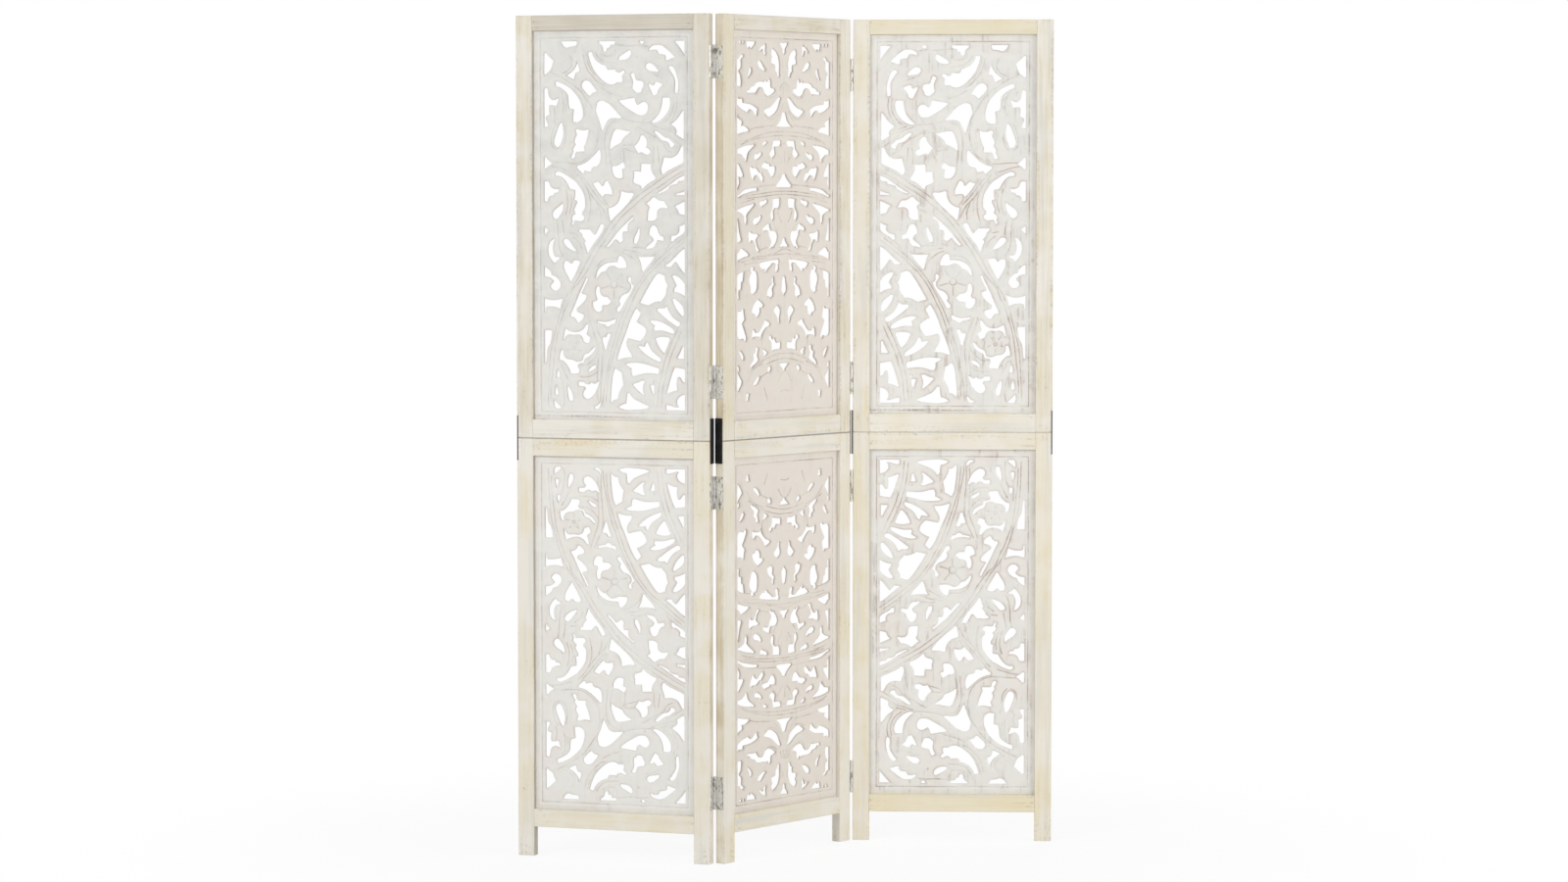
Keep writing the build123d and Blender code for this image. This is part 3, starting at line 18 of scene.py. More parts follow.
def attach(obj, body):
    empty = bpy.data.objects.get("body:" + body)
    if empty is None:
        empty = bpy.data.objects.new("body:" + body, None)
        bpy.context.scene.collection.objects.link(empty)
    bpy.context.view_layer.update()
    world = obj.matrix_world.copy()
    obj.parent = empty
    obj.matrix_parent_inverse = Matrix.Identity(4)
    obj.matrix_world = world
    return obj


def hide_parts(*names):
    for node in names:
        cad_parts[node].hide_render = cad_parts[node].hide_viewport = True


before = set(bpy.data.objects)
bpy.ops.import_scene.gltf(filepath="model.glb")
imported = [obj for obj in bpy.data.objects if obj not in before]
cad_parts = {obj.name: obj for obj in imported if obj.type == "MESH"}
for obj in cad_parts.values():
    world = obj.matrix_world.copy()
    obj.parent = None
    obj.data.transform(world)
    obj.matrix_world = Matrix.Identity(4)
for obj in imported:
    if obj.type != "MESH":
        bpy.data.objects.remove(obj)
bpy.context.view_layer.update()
MM = 0.001

# %% [markdown]
# ## Where the panels stand
# The three panels stand at different angles, like an open concertina. Grain, paint streaks and carving all
# follow the panel and not the room. So each panel gets a matrix that carries panel coordinates (x along the
# panel, y up, z out of its front face) to the room. Only the angles are written down: the place comes from
# the panel's own left stile. The boards are modelled flat, in panel coordinates, and go to the room last.

# %% Panel coordinates
PANELS = ("left", "middle", "right")
HALVES = ("upper", "lower")
PANEL_ANGLES = {"left": -18.63, "middle": 50.83, "right": -2.87}


def panel_matrix(panel):
    turn = math.radians(PANEL_ANGLES[panel])
    along = Vector((math.cos(turn), math.sin(turn), 0))
    out = Vector((math.sin(turn), -math.cos(turn), 0))
    corners = [vertex.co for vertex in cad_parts[f"{panel}_upper_left_stile"].data.vertices]
    origin = along * min(co.dot(along) for co in corners) + out * max(co.dot(out) for co in corners)
    columns = (along, Vector((0, 0, 1)), out, origin)
    return Matrix([[column[row] for column in columns] for row in range(3)] + [[0, 0, 0, 1]])


TO_ROOM = {panel: panel_matrix(panel) for panel in PANELS}
TO_PANEL = {panel: matrix.inverted() for panel, matrix in TO_ROOM.items()}


def panel_box(panel, node):
    """A node's lowest and highest corners in panel coordinates."""
    points = np.array([TO_PANEL[panel] @ vertex.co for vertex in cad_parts[node].data.vertices])
    return points.min(axis=0), points.max(axis=0)


for panel in PANELS:
    low, high = panel_box(panel, f"{panel}_upper_left_stile")
    print(panel, "stile in panel coordinates, mm:", (low / MM).round(1), (high / MM).round(1))

# %% [markdown]
# ## The camera
# The view is from a little left of the middle, at chest height and eight and a half metres away, with a long
# lens. From that far a tilt of three degrees brings the whole screen into the frame and leaves its uprights
# as good as parallel, so the lens needs no shift.

# %% Camera
EYE = (-0.0758, -8.502, 1.315)
LENS = 99.06
SENSOR = 36
FARTHEST = 60
TILT, TURN = math.radians(-3.36), math.radians(-0.457)


def placed(name, data):
    """A new object in the scene."""
    thing = bpy.data.objects.new(name, data)
    bpy.context.scene.collection.objects.link(thing)
    return thing


camera_data = bpy.data.cameras.new("camera")
camera_data.lens = LENS
camera_data.sensor_width = SENSOR
camera_data.clip_end = FARTHEST
camera = placed("camera", camera_data)
camera.location = EYE
camera.rotation_euler = (math.radians(90) + TILT, 0, TURN)
bpy.context.scene.camera = camera
print("camera at", EYE, "with a", LENS, "mm lens")

# %% [markdown]
# ## Writing node trees as sums
# Both the carving and the paint are worked out by nodes. Wiring them by hand hides what they say, so a small
# class stands for one output of a node. Adding, multiplying or comparing two of them adds the Math node that
# does it, and any other node comes from one method, `add`.


# %% Sockets that can be added and multiplied
def math_method(operation, swapped=False):
    def method(self, other):
        return self.nodes.math(operation, *((other, self) if swapped else (self, other)))
    return method


class Wire:
    """One output of a node."""

    def __init__(self, nodes, socket):
        self.nodes = nodes
        self.socket = socket

    __add__, __radd__ = math_method("ADD"), math_method("ADD", swapped=True)
    __sub__, __rsub__ = math_method("SUBTRACT"), math_method("SUBTRACT", swapped=True)
    __mul__, __rmul__ = math_method("MULTIPLY"), math_method("MULTIPLY", swapped=True)
    __truediv__ = math_method("DIVIDE")
    __pow__ = math_method("POWER")
    least = math_method("MINIMUM")
    most = math_method("MAXIMUM")

    def output(self, name):
        return Wire(self.nodes, self.socket.node.outputs[name])

    def clamped(self):
        return self.least(1.0).most(0.0)

    def rising(self, start, end):
        """0 up to start, 1 from end, and smooth between them."""
        return self.nodes.add("ShaderNodeMapRange", {"Value": self, "From Min": start, "From Max": end},
                              interpolation_type="SMOOTHSTEP")


class Nodes:
    """A node tree."""

    def __init__(self, tree):
        self.tree = tree

    def add(self, kind, inputs=None, output=0, **settings):
        """Adds a node with its settings, fills its inputs, and gives one of its outputs."""
        node = self.tree.nodes.new(kind)
        for name, value in settings.items():
            setattr(node, name, value)
        for key, value in (inputs or {}).items():
            if isinstance(value, Wire):
                self.tree.links.new(value.socket, node.inputs[key])
            else:
                node.inputs[key].default_value = value
        return Wire(self, node.outputs[output]) if node.outputs else None

    def math(self, operation, *terms):
        return self.add("ShaderNodeMath", dict(enumerate(terms)), operation=operation)

    def vector(self, operation, *terms):
        return self.add("ShaderNodeVectorMath", dict(enumerate(terms)), operation=operation)

    def mixed(self, share, first, second):
        """The first colour where share is 0, and the second where it is 1."""
        return self.add("ShaderNodeMix", {0: share, 6: first, 7: second}, 2, data_type="RGBA",
                        clamp_factor=True)

    def layered(self, base, *layers):
        """The base colour under layers, each given by its share and its colour."""
        for share, tint in layers:
            base = self.mixed(share, base, tint)
        return base

    def noise(self, place, size, detail=3.0, roughness=0.55, distortion=0.0):
        """Noise from 0 to 1 whose lumps are about this size."""
        return self.add("ShaderNodeTexNoise", {"Vector": place, "Scale": 1 / size, "Detail": detail,
                                               "Roughness": roughness, "Distortion": distortion})

    def split(self, place):
        """The three parts of a vector."""
        parts = self.add("ShaderNodeSeparateXYZ", {"Vector": place})
        return [parts.output(axis) for axis in "XYZ"]


print("besides sums, a Wire has", [name for name in vars(Wire) if not name.startswith("_")])

# %% [markdown]
# ## The boards' outlines
# The packed model already has the sawn shape of each board: a flat rectangle with many openings. The carving
# could be cut into it with booleans, but hundreds of V cuts would be slow and brittle. It is easier to keep
# only the outlines and to fill them with a finer mesh. Walking round the front face's free edges gives them
# as loops of points, always with the wood on the left hand. Long edges are divided, because the carving
# bends the wood beside them.

# %% Outlines from the packed boards
MERGE = 0.00002
OUTLINE_STEP = 2.0 * MM


def front_face(panel, half):
    """The triangles of a board's front face, merged, in panel coordinates."""
    mesh = bmesh.new()
    mesh.from_mesh(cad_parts[f"{panel}_{half}_carved_board"].data)
    bmesh.ops.remove_doubles(mesh, verts=mesh.verts, dist=MERGE)
    mesh.transform(TO_PANEL[panel])
    front = max(vertex.co.z for vertex in mesh.verts)
    back = min(vertex.co.z for vertex in mesh.verts)
    others = [face for face in mesh.faces if min(vertex.co.z for vertex in face.verts) < front - MERGE]
    bmesh.ops.delete(mesh, geom=others, context="FACES")
    return mesh, front, back


def walked_loops(mesh):
    """The free edges of a flat mesh as loops of points, with the wood on the left."""
    after = {}
    for edge in mesh.edges:
        if edge.is_boundary:
            corner = edge.link_loops[0]
            after[corner.vert] = corner.link_loop_next.vert
    loops = []
    while after:
        start, vertex = next(iter(after.items()))
        del after[start]
        loop = [start.co.xy]
        while vertex is not start:
            loop.append(vertex.co.xy)
            vertex = after.pop(vertex)
        loops.append(loop)
    return loops


def divided(loop, step):
    """The loop with no edge longer than the step."""
    points = []
    for start, end in zip(loop, loop[1:] + loop[:1]):
        count = max(1, math.ceil((end - start).length / step))
        points += [start.lerp(end, index / count) for index in range(count)]
    return points


def by_length(loop):
    return sum((end - start).length for start, end in zip(loop, loop[1:] + loop[:1]))


flat, front, back = front_face("left", "upper")
print(len(walked_loops(flat)) - 1, "openings in a board", round((front - back) / MM, 1), "mm thick")
flat.free()

# %% [markdown]
# ## The carver's lines
# Over the sawn shape the carver cuts lines with a V gouge: two long arcs that frame each bow, veins in the
# leaves, rings in the flowers. They are drawn on the same field as the openings, 292 wide and 720 long,
# measured from the far end of the panel towards the middle joint. A line drawn by hand has a hand's rhythm,
# which no formula gives, so each is a short list of points that a smooth curve passes through.

# %% Lines on the side panels
FIELD = (292.0, 720.0)
FIELD_MARGIN = 20.5 * MM
BORDER = 6.5

SIDE_LINES = (
    # corner leaves
    ((15, 60), (37, 70), (52, 79), (66, 89), (78, 98), (90, 114), (100, 130), (109, 146), (118, 172)),
    ((55, 28), (60, 39), (57, 51), (50, 58), (40, 63)),
    ((83, 27), (87, 44), (94, 59), (103, 70), (113, 80), (124, 86)),
    ((89, 25), (92, 40), (98, 54), (107, 67)),
    ((120, 92), (136, 101), (150, 106), (163, 110)),
    ((163, 150), (178, 156), (195, 159), (212, 160), (222, 160)),
    ((150, 157), (139, 161), (132, 172), (128, 188), (127.5, 205), (129, 222), (130, 240)),
    ((136, 213), (137.5, 226), (140, 240)),
    ((110, 155), (113.5, 170), (113.5, 185), (111, 200), (107, 211), (100, 221)),
    ((166, 204), (178, 203), (188, 204)),
    ((166, 209), (179, 214), (193, 218)),
    ((165, 207), (167, 220), (167.5, 236)),
    ((200, 170), (214, 178), (226, 185), (240, 194), (252, 203)),
    ((223, 163), (238, 169), (254, 174), (268, 178)),
    ((240, 164), (254, 168), (266, 172)),
    ((255, 182), (266, 190), (277, 198), (284, 203)),
    ((248, 203), (256, 213), (266, 218)),
    ((229, 208), (227, 222), (227.5, 238)),
    ((236, 207), (238, 222), (240, 236)),
    ((268, 108), (270, 122), (267, 138), (259, 151), (248, 160)),
    ((275, 106), (277, 122), (274, 138), (266, 155)),
    ((150, 7), (165, 10), (182, 11), (200, 10), (216, 12)),
    ((120, 25), (133, 30), (147, 27), (150, 18)),
    ((108, 22), (116, 34), (128, 41), (140, 43), (152, 44)),
    ((213, 62), (226, 66), (238, 70)),
    ((36, 96), (41, 110), (42, 126), (40, 142)),
    ((46, 104), (47, 120), (46, 136)),
    ((22, 130), (24, 142), (22, 156)),
    ((26, 160), (19, 176), (16, 192), (19, 206), (28, 212)),
    ((44, 165), (46, 185), (43, 202), (36, 212)),
    # leaves above the outer bow
    ((18, 236), (35, 237), (55, 238.5), (72, 238), (88, 231), (102, 220)),
    ((14, 244), (30, 247), (45, 252), (55, 255)),
    ((70, 261), (83, 276), (94, 292), (104, 306), (116, 319), (126, 333), (132, 347)),
    ((78, 262), (90, 275), (101, 290), (111, 303), (120, 313), (128, 320)),
    ((88, 283), (95, 300), (98, 317), (97, 334), (93, 352)),
    ((112, 318), (118, 334), (118, 350)),
    ((126, 303), (127, 312), (133, 319)),
    ((27, 348), (29, 363), (30, 380), (31, 395), (34, 410), (40, 420)),
    ((38, 350), (41, 365), (43, 380)),
    ((46, 290), (50, 305), (50, 322), (46, 340)),
    ((57, 300), (58, 318), (54, 336)),
    ((55, 375), (68, 377)),
    ((62, 384), (74, 394), (80, 406)),
    # the outer bow's pair of lines
    ((290, 243), (266, 256), (246, 268), (226, 282), (204, 296), (187, 309), (171, 323), (156, 338),
     (142, 352), (130, 369), (118, 387), (106, 404), (97, 418), (88, 434), (78, 452), (68, 469), (51, 493),
     (43, 509), (34, 531), (28, 551), (21, 579), (14, 609), (11, 642), (9, 676), (8, 715)),
    ((292, 253), (272, 264), (252, 277), (234, 288), (216, 299), (200, 311), (184, 325), (168, 338),
     (154, 353), (141, 369), (129, 386), (117, 403), (106, 420), (97, 437), (84, 458), (72, 473), (61, 484),
     (51, 509), (43, 526), (36, 546), (29, 569), (24, 592), (21, 617), (18, 643), (15, 670), (14, 700)),
    # the inner bow's pair of lines
    ((292, 392), (276, 404), (258, 419), (243, 431), (229, 444), (217, 455), (207, 468), (198, 481),
     (189, 497), (181, 514), (172, 532), (164, 553), (157, 574), (150, 596), (143, 618), (138, 636),
     (134, 655), (131, 680), (129, 705)),
    ((284, 388), (268, 400), (252, 413), (237, 426), (223, 440), (211, 453), (200, 467), (191, 481),
     (182, 497), (173, 515), (164, 533), (157, 552), (150, 573), (143, 596), (137, 618), (133, 640),
     (128, 665), (124, 690), (122, 715)),
    ((276, 384), (262, 396), (252, 408)),
    # flowers and leaves between the bows
    ((167, 408), (180, 409), (193, 412), (205, 417), (218, 418.5), (232, 416)),
    ((165, 414), (176, 418), (186, 425), (195, 432), (200, 441), (203, 450)),
    ((180, 404), (195, 402), (207, 404)),
    ((112, 440), (122, 429), (136, 424), (150, 424)),
    ((96, 548), (103, 570), (110, 590), (113, 612), (112, 640), (111, 668), (112, 700)),
    ((104, 548), (112, 566), (119, 585), (122, 606), (121, 632), (119, 660), (118, 690), (119, 712)),
    ((36, 636), (44, 652), (50, 664)),
    ((34, 660), (40, 680), (42, 700), (40, 716)),
    ((72, 632), (84, 634), (97, 628), (108, 616), (114, 604)),
    ((74, 656), (88, 657), (102, 653), (112, 646)),
    # the fan's own bow
    ((285, 566), (277, 585), (269, 602), (262, 619), (257, 636), (252, 655), (247, 676), (245, 697),
     (243, 715)),
    ((280, 556), (272, 573), (264, 590), (257, 608), (250, 626), (245, 645), (240, 667), (237, 690),
     (235, 712)),
)
SIDE_RINGS = (((61, 601), 3), ((146, 475), 7))
SIDE_FLOWERS = (((146, 475), 11, 27, 5), ((61, 601), 11, 16, 5))
SIDE_EYES = ((208.5, 153.5), (195, 32.7), (232, 187.7))
EYE_RADIUS = 1.2
print(len(SIDE_LINES), "lines on a side panel")

# %% [markdown]
# The middle panel's pattern is the same left and right, so only its left half is drawn and then mirrored.

# %% Lines on the middle panel
MIDDLE_LINES = (
    ((38, 173), (55, 169), (75, 167), (97, 165), (115, 164)),
    ((20, 196), (42, 190), (62, 185), (85, 180), (112, 177), (146, 175.5)),
    ((12, 202), (30, 196), (50, 191.5), (75, 188), (100, 185.5), (125, 184), (146, 183.5)),
    ((128, 201), (137, 199), (146, 198.5)),
    ((121, 208), (124, 217), (130, 227), (138, 237)),
    ((138, 36), (140, 44), (138, 52)),
    ((132, 95), (136, 84), (146, 79)),
    ((141, 98), (142, 88), (146, 84)),
    ((84, 104), (96, 109), (110, 108), (120, 102)),
    ((84, 144), (95, 150), (108, 151), (120, 146), (130, 136)),
    ((112, 160), (122, 152), (130, 142), (136, 132), (140, 120)),
    ((64, 284), (82, 282.5), (100, 281.5), (120, 281)),
    ((4, 306), (40, 301), (66, 298.5), (90, 296), (116, 294), (146, 293)),
    ((20, 308), (45, 306), (66, 304.5), (88, 302.5), (112, 300.5), (146, 299)),
    ((12, 316), (30, 312), (50, 309)),
    ((124, 334), (129, 344), (136, 354)),
    ((110, 358), (120, 370), (123, 384)),
    ((74, 407), (90, 403.5), (100, 402)),
    ((95, 417), (112, 415.5), (128, 411), (138, 408), (146, 407)),
    ((40, 424), (62, 421.5), (90, 420), (118, 418), (146, 417)),
    ((12, 432), (35, 428), (60, 426), (90, 424.5)),
    ((20, 436), (40, 434), (60, 433)),
    ((24, 450), (32, 448), (40, 447)),
    ((134, 440), (138, 436), (146, 435)),
    ((80, 570), (75, 582), (75, 596), (80, 606)),
    ((30, 650), (45, 641), (62, 632), (80, 625), (97, 620), (113, 616), (130, 613.5), (146, 614)),
    ((88, 634), (104, 629), (120, 626), (134, 624), (146, 623)),
    ((26, 668), (36, 654), (48, 643), (62, 636), (78, 631)),
    ((72, 658), (84, 653), (94, 649)),
    ((126, 668), (132, 658), (139, 650)),
    ((82, 680), (87, 692), (92, 704)),
    ((133, 689), (146, 686)),
)
MIDDLE_CENTRE_LINES = (((146, 214), (146, 236)),)
print(len(MIDDLE_LINES), "lines on each half of the middle panel")

# %% [markdown]
# Rings, flowers and the border are regular, so they come from a rule. The right panel has the left one's
# lines, mirrored.


# %% Every line of one board
def mirrored(lines):
    return [[(FIELD[0] - x, y) for x, y in line] for line in lines]


def ring(centre, radius, count=12):
    turns = [2 * math.pi * index / count for index in range(count + 1)]
    return [(centre[0] + radius * math.cos(turn), centre[1] + radius * math.sin(turn)) for turn in turns]


def flower(centre, inner, outer, petals):
    """One vein along each petal."""
    turns = [2 * math.pi * (index + 0.25) / petals for index in range(petals)]
    return [[(centre[0] + radius * math.cos(turn), centre[1] + radius * math.sin(turn))
             for radius in (inner, (inner + outer) / 2, outer)] for turn in turns]


side_lines = [list(line) for line in SIDE_LINES]
side_lines += [ring(centre, radius) for centre, radius in SIDE_RINGS]
side_lines += [vein for spec in SIDE_FLOWERS for vein in flower(*spec)]
side_lines += [ring(centre, EYE_RADIUS, 6) for centre in SIDE_EYES]
half_lines = [list(line) for line in MIDDLE_LINES]
left, right, near, far = -BORDER, FIELD[0] + BORDER, -BORDER, FIELD[1] + BORDER
border = [[(left, near), (right, near)], [(right, near), (right, far)], [(right, far), (left, far)],
          [(left, far), (left, near)]]
LINES = {
    "left": side_lines + border,
    "middle": half_lines + mirrored(half_lines) + [list(line) for line in MIDDLE_CENTRE_LINES] + border,
    "right": mirrored(side_lines) + border,
}
print({panel: len(lines) for panel, lines in LINES.items()}, "carved lines")

# %% [markdown]
# The lines become Bezier curves whose handles Blender works out, so that they bend smoothly through their
# points. They are laid on the board's front face and then turned into plain edges, which the carving
# measures its distance from.

# %% Lines laid on the board
LINE_STEP = 14
CURVE_STEPS = 9


def opening_in_frame(panel, half):
    """The left, right, bottom and top of the window that the frame leaves for the board."""
    left = panel_box(panel, f"{panel}_{half}_left_stile")[1][0]
    right = panel_box(panel, f"{panel}_{half}_right_stile")[0][0]
    bottom = panel_box(panel, f"{panel}_{half}_bottom_rail")[1][1]
    top = panel_box(panel, f"{panel}_{half}_top_rail")[0][1]
    return left, right, bottom, top


def filled(line, step):
    """A straight line with points along it, about a step apart."""
    (x0, y0), (x1, y1) = line
    count = math.ceil(math.dist(*line) / step)
    return [(x0 + (x1 - x0) * index / count, y0 + (y1 - y0) * index / count) for index in range(count + 1)]


def line_edges(panel, half):
    left, right, bottom, top = opening_in_frame(panel, half)
    width = right - left - 2 * FIELD_MARGIN
    length = top - bottom - 2 * FIELD_MARGIN
    curve = bpy.data.curves.new(f"{panel}_{half}_lines", "CURVE")
    curve.dimensions = "3D"
    curve.resolution_u = CURVE_STEPS
    for line in LINES[panel]:
        line = line if len(line) > 2 else filled(line, LINE_STEP)
        spline = curve.splines.new("BEZIER")
        spline.bezier_points.add(len(line) - 1)
        for point, (x, y) in zip(spline.bezier_points, line):
            run = FIELD_MARGIN + length * y / FIELD[1]
            height = top - run if half == "upper" else bottom + run
            point.co = (left + FIELD_MARGIN + width * x / FIELD[0], height, 0)
            point.handle_left_type = point.handle_right_type = "AUTO"
    drawn = placed(curve.name, curve)
    bpy.context.view_layer.update()
    mesh = bpy.data.meshes.new_from_object(drawn.evaluated_get(bpy.context.evaluated_depsgraph_get()))
    bpy.data.objects.remove(drawn)
    return mesh


print("the left window's sides, mm:", [round(side / MM, 1) for side in opening_in_frame("left", "upper")])

# %% [markdown]
# ## The blank for the carving
# A carved face needs enough small triangles for the cuts to show, and they have to follow the outlines, or
# the rims come out ragged. A Delaunay triangulation does both: it keeps the outlines' edges and joins loose
# points as evenly as it can. The points are rings just inside each outline, rows along the carved lines,
# and an even grid everywhere else. A bucket grid keeps them from crowding.

# %% Points for the triangulation
RIM_RINGS = (0.7 * MM, 1.9 * MM)
LINE_ROWS = (0.0, 1.5 * MM)
FRONT_GRID = 2.5 * MM
BACK_GRID = 5.0 * MM
BUCKET = 1.0 * MM
# How close a new point may come to the others: at a rim, along a line, and as a share of the grid.
RIM_GAP = 0.8 * RIM_RINGS[0]
LINE_GAP = 0.6 * MM
GRID_GAP = 0.62


class Scatter:
    """Points that keep a distance from one another."""

    def __init__(self, wood):
        self.wood = wood
        self.points = []
        self.buckets = {}

    def bucket(self, x, y):
        return math.floor(x / BUCKET), math.floor(y / BUCKET)

    def near(self, x, y, gap):
        reach = math.ceil(gap / BUCKET)
        column, row = self.bucket(x, y)
        for i in range(column - reach, column + reach + 1):
            for j in range(row - reach, row + reach + 1):
                for other in self.buckets.get((i, j), ()):
                    if (other[0] - x) ** 2 + (other[1] - y) ** 2 < gap * gap:
                        return True
        return False

    def put(self, x, y):
        self.buckets.setdefault(self.bucket(x, y), []).append((x, y))
        self.points.append((x, y))

    def offer(self, x, y, gap):
        """Takes the point if it lies in the wood and clear of the others."""
        if not self.near(x, y, gap) and in_wood(self.wood, x, y):
            self.put(x, y)


def in_wood(wood, x, y):
    return wood.ray_cast(Vector((x, y, 1)), Vector((0, 0, -1)))[0] is not None


def beside(points, distance, closed):
    """Each point moved to the left of the way the line runs."""
    count = len(points)
    for index, point in enumerate(points):
        before = points[index - 1] if closed or index else point
        after = points[(index + 1) % count] if closed or index < count - 1 else point
        run = after - before
        if run.length > 0:
            yield point + distance * Vector((-run.y, run.x)).normalized()


def chains(mesh):
    """The vertices of an edge mesh, one list for each line."""
    points = [vertex.co.xy for vertex in mesh.vertices]
    found = []
    previous = None
    for edge in sorted(tuple(sorted(edge.vertices)) for edge in mesh.edges):
        if edge[0] != previous:
            found.append([points[edge[0]]])
        found[-1].append(points[edge[1]])
        previous = edge[1]
    return found


def scattered(wood, loops, rings, lines, line_rows, grid):
    scatter = Scatter(wood)
    for loop in loops:
        for point in loop:
            scatter.put(*point)
    for distance in rings:
        for loop in loops:
            for point in beside(loop, distance, True):
                scatter.offer(*point, RIM_GAP)
    for distance in line_rows:
        for line in lines:
            for side in (distance, -distance):
                for point in beside(line, side, False):
                    scatter.offer(*point, LINE_GAP)
    lowest, highest = np.min(scatter.points, axis=0), np.max(scatter.points, axis=0)
    row_height = grid * math.sqrt(3) / 2
    columns, rows = ((highest - lowest) / (grid, row_height)).astype(int)
    for row in range(rows):
        for column in range(columns):
            x = lowest[0] + grid * (column + 0.5 * (row % 2) + 0.25)
            scatter.offer(x, lowest[1] + row_height * (row + 0.5), GRID_GAP * grid)
    return scatter.points


print("a grid of", FRONT_GRID / MM, "mm in front and of", BACK_GRID / MM, "mm behind")

# %% [markdown]
# Blender's own Delaunay routine works best on numbers near one, so it gets millimetres. It fills the openings
# too, and a ray dropped on the packed board tells which triangles lie in the wood.


# %% One face of the blank
TOGETHER = 1e-5


def loop_edges(loops):
    """Each loop's edges as pairs of numbers, where the loops' points are numbered one after another."""
    start = 0
    for loop in loops:
        count = len(loop)
        yield from ((start + index, start + (index + 1) % count) for index in range(count))
        start += count


def triangulated(wood, loops, points):
    """The points and triangles of one face, and where each outline point ended up."""
    edges = list(loop_edges(loops))
    scaled = [Vector((x / MM, y / MM)) for x, y in points]
    found, _, faces, origins, _, _ = geometry.delaunay_2d_cdt(scaled, edges, [], 0, TOGETHER)
    places = {origin: index for index, group in enumerate(origins) for origin in group}
    corners = np.array([tuple(point) for point in found]) * MM
    kept = [turned_to_front(corners, face) for face in faces
            if in_wood(wood, *corners[list(face)].mean(axis=0))]
    return corners, kept, [places[index] for index in range(len(edges))]


def turned_to_front(corners, face):
    """The triangle, with its corners in the order that makes it face the front."""
    (ax, ay), (bx, by), (cx, cy) = (corners[index] for index in face)
    return face if (bx - ax) * (cy - ay) - (by - ay) * (cx - ax) > 0 else face[::-1]


square = [Vector(corner) for corner in ((0, 0), (1, 0), (1, 1), (0, 1))]
print("the loop of a square:", list(loop_edges([square])))

# %% [markdown]
# The blank is the front face, the back face and the sawn walls between them, as one closed shell. Two
# attributes go with it: which side a point is on, and which faces are walls.


# %% The closed blank
def joined_mesh(name, front, back, front_face_mesh, back_face_mesh, loops):
    """Both faces and the walls between their outlines."""
    front_xy, front_faces, front_rim = front_face_mesh
    back_xy, back_faces, back_rim = back_face_mesh
    shift = len(front_xy)
    vertices = [(x, y, front) for x, y in front_xy] + [(x, y, back) for x, y in back_xy]
    faces = front_faces + [[shift + index for index in face[::-1]] for face in back_faces]
    walls = [(front_rim[there], front_rim[here], shift + back_rim[here], shift + back_rim[there])
             for here, there in loop_edges(loops)]
    mesh = bpy.data.meshes.new(name)
    mesh.from_pydata(vertices, [], faces + walls)
    side = mesh.attributes.new("side", "FLOAT", "POINT")
    side.data.foreach_set("value", [1.0] * shift + [-1.0] * len(back_xy))
    wall = mesh.attributes.new("wall", "FLOAT", "FACE")
    wall.data.foreach_set("value", [0.0] * len(faces) + [1.0] * len(walls))
    return mesh


def carving_blank(panel, half):
    """The blank, the openings' outlines and the carved lines, all flat in panel coordinates."""
    flat, front, back = front_face(panel, half)
    wood = BVHTree.FromBMesh(flat)
    loops = [divided(loop, OUTLINE_STEP) for loop in sorted(walked_loops(flat), key=by_length)]
    flat.free()
    lines = line_edges(panel, half)
    front_points = scattered(wood, loops, RIM_RINGS, chains(lines), LINE_ROWS, FRONT_GRID)
    back_points = scattered(wood, loops, RIM_RINGS[:1], (), (), BACK_GRID)
    blank = joined_mesh(f"{panel}_{half}_carving", front, back, triangulated(wood, loops, front_points),
                        triangulated(wood, loops, back_points), loops)
    openings = loops[:-1]
    holes = bpy.data.meshes.new(f"{panel}_{half}_holes")
    holes.from_pydata([(x, y, 0) for loop in openings for x, y in loop], list(loop_edges(openings)), [])
    return blank, holes, lines


print(len(RIM_RINGS), "rings of points inside each opening in front, and", len(RIM_RINGS[:1]), "behind")

# %% [markdown]
# ## Carving by rule
# Every cut on the face depends on one of two distances: how far a point is from the nearest opening, and how
# far it is from the nearest carved line. So the carving is a rule, and Geometry Nodes can work it out for all
# six boards. Geometry Proximity measures both distances. Near an opening the face falls away in a rounded
# rim, at a carved line it drops into a V, and everywhere it is a little uneven, as a gouge leaves it. The
# tree keeps how deep each cut is as attributes, because the paint wears off there.

# %% The carving tree
CARVING_INPUTS = (
    ("Geometry", "NodeSocketGeometry", None), ("Holes", "NodeSocketObject", None),
    ("Lines", "NodeSocketObject", None), ("Rim Width", "NodeSocketFloat", 5.5 * MM),
    ("Rim Drop", "NodeSocketFloat", 2.2 * MM), ("Line Width", "NodeSocketFloat", 3.6 * MM),
    ("Line Depth", "NodeSocketFloat", 1.3 * MM), ("Unevenness", "NodeSocketFloat", 1.0 * MM),
    ("Back Share", "NodeSocketFloat", 0.5), ("Paint", "NodeSocketMaterial", None))
RIM_ROUNDNESS = 2.2
LUMP_SIZE = 15 * MM
RIM_LUMP_SIZE = 30 * MM


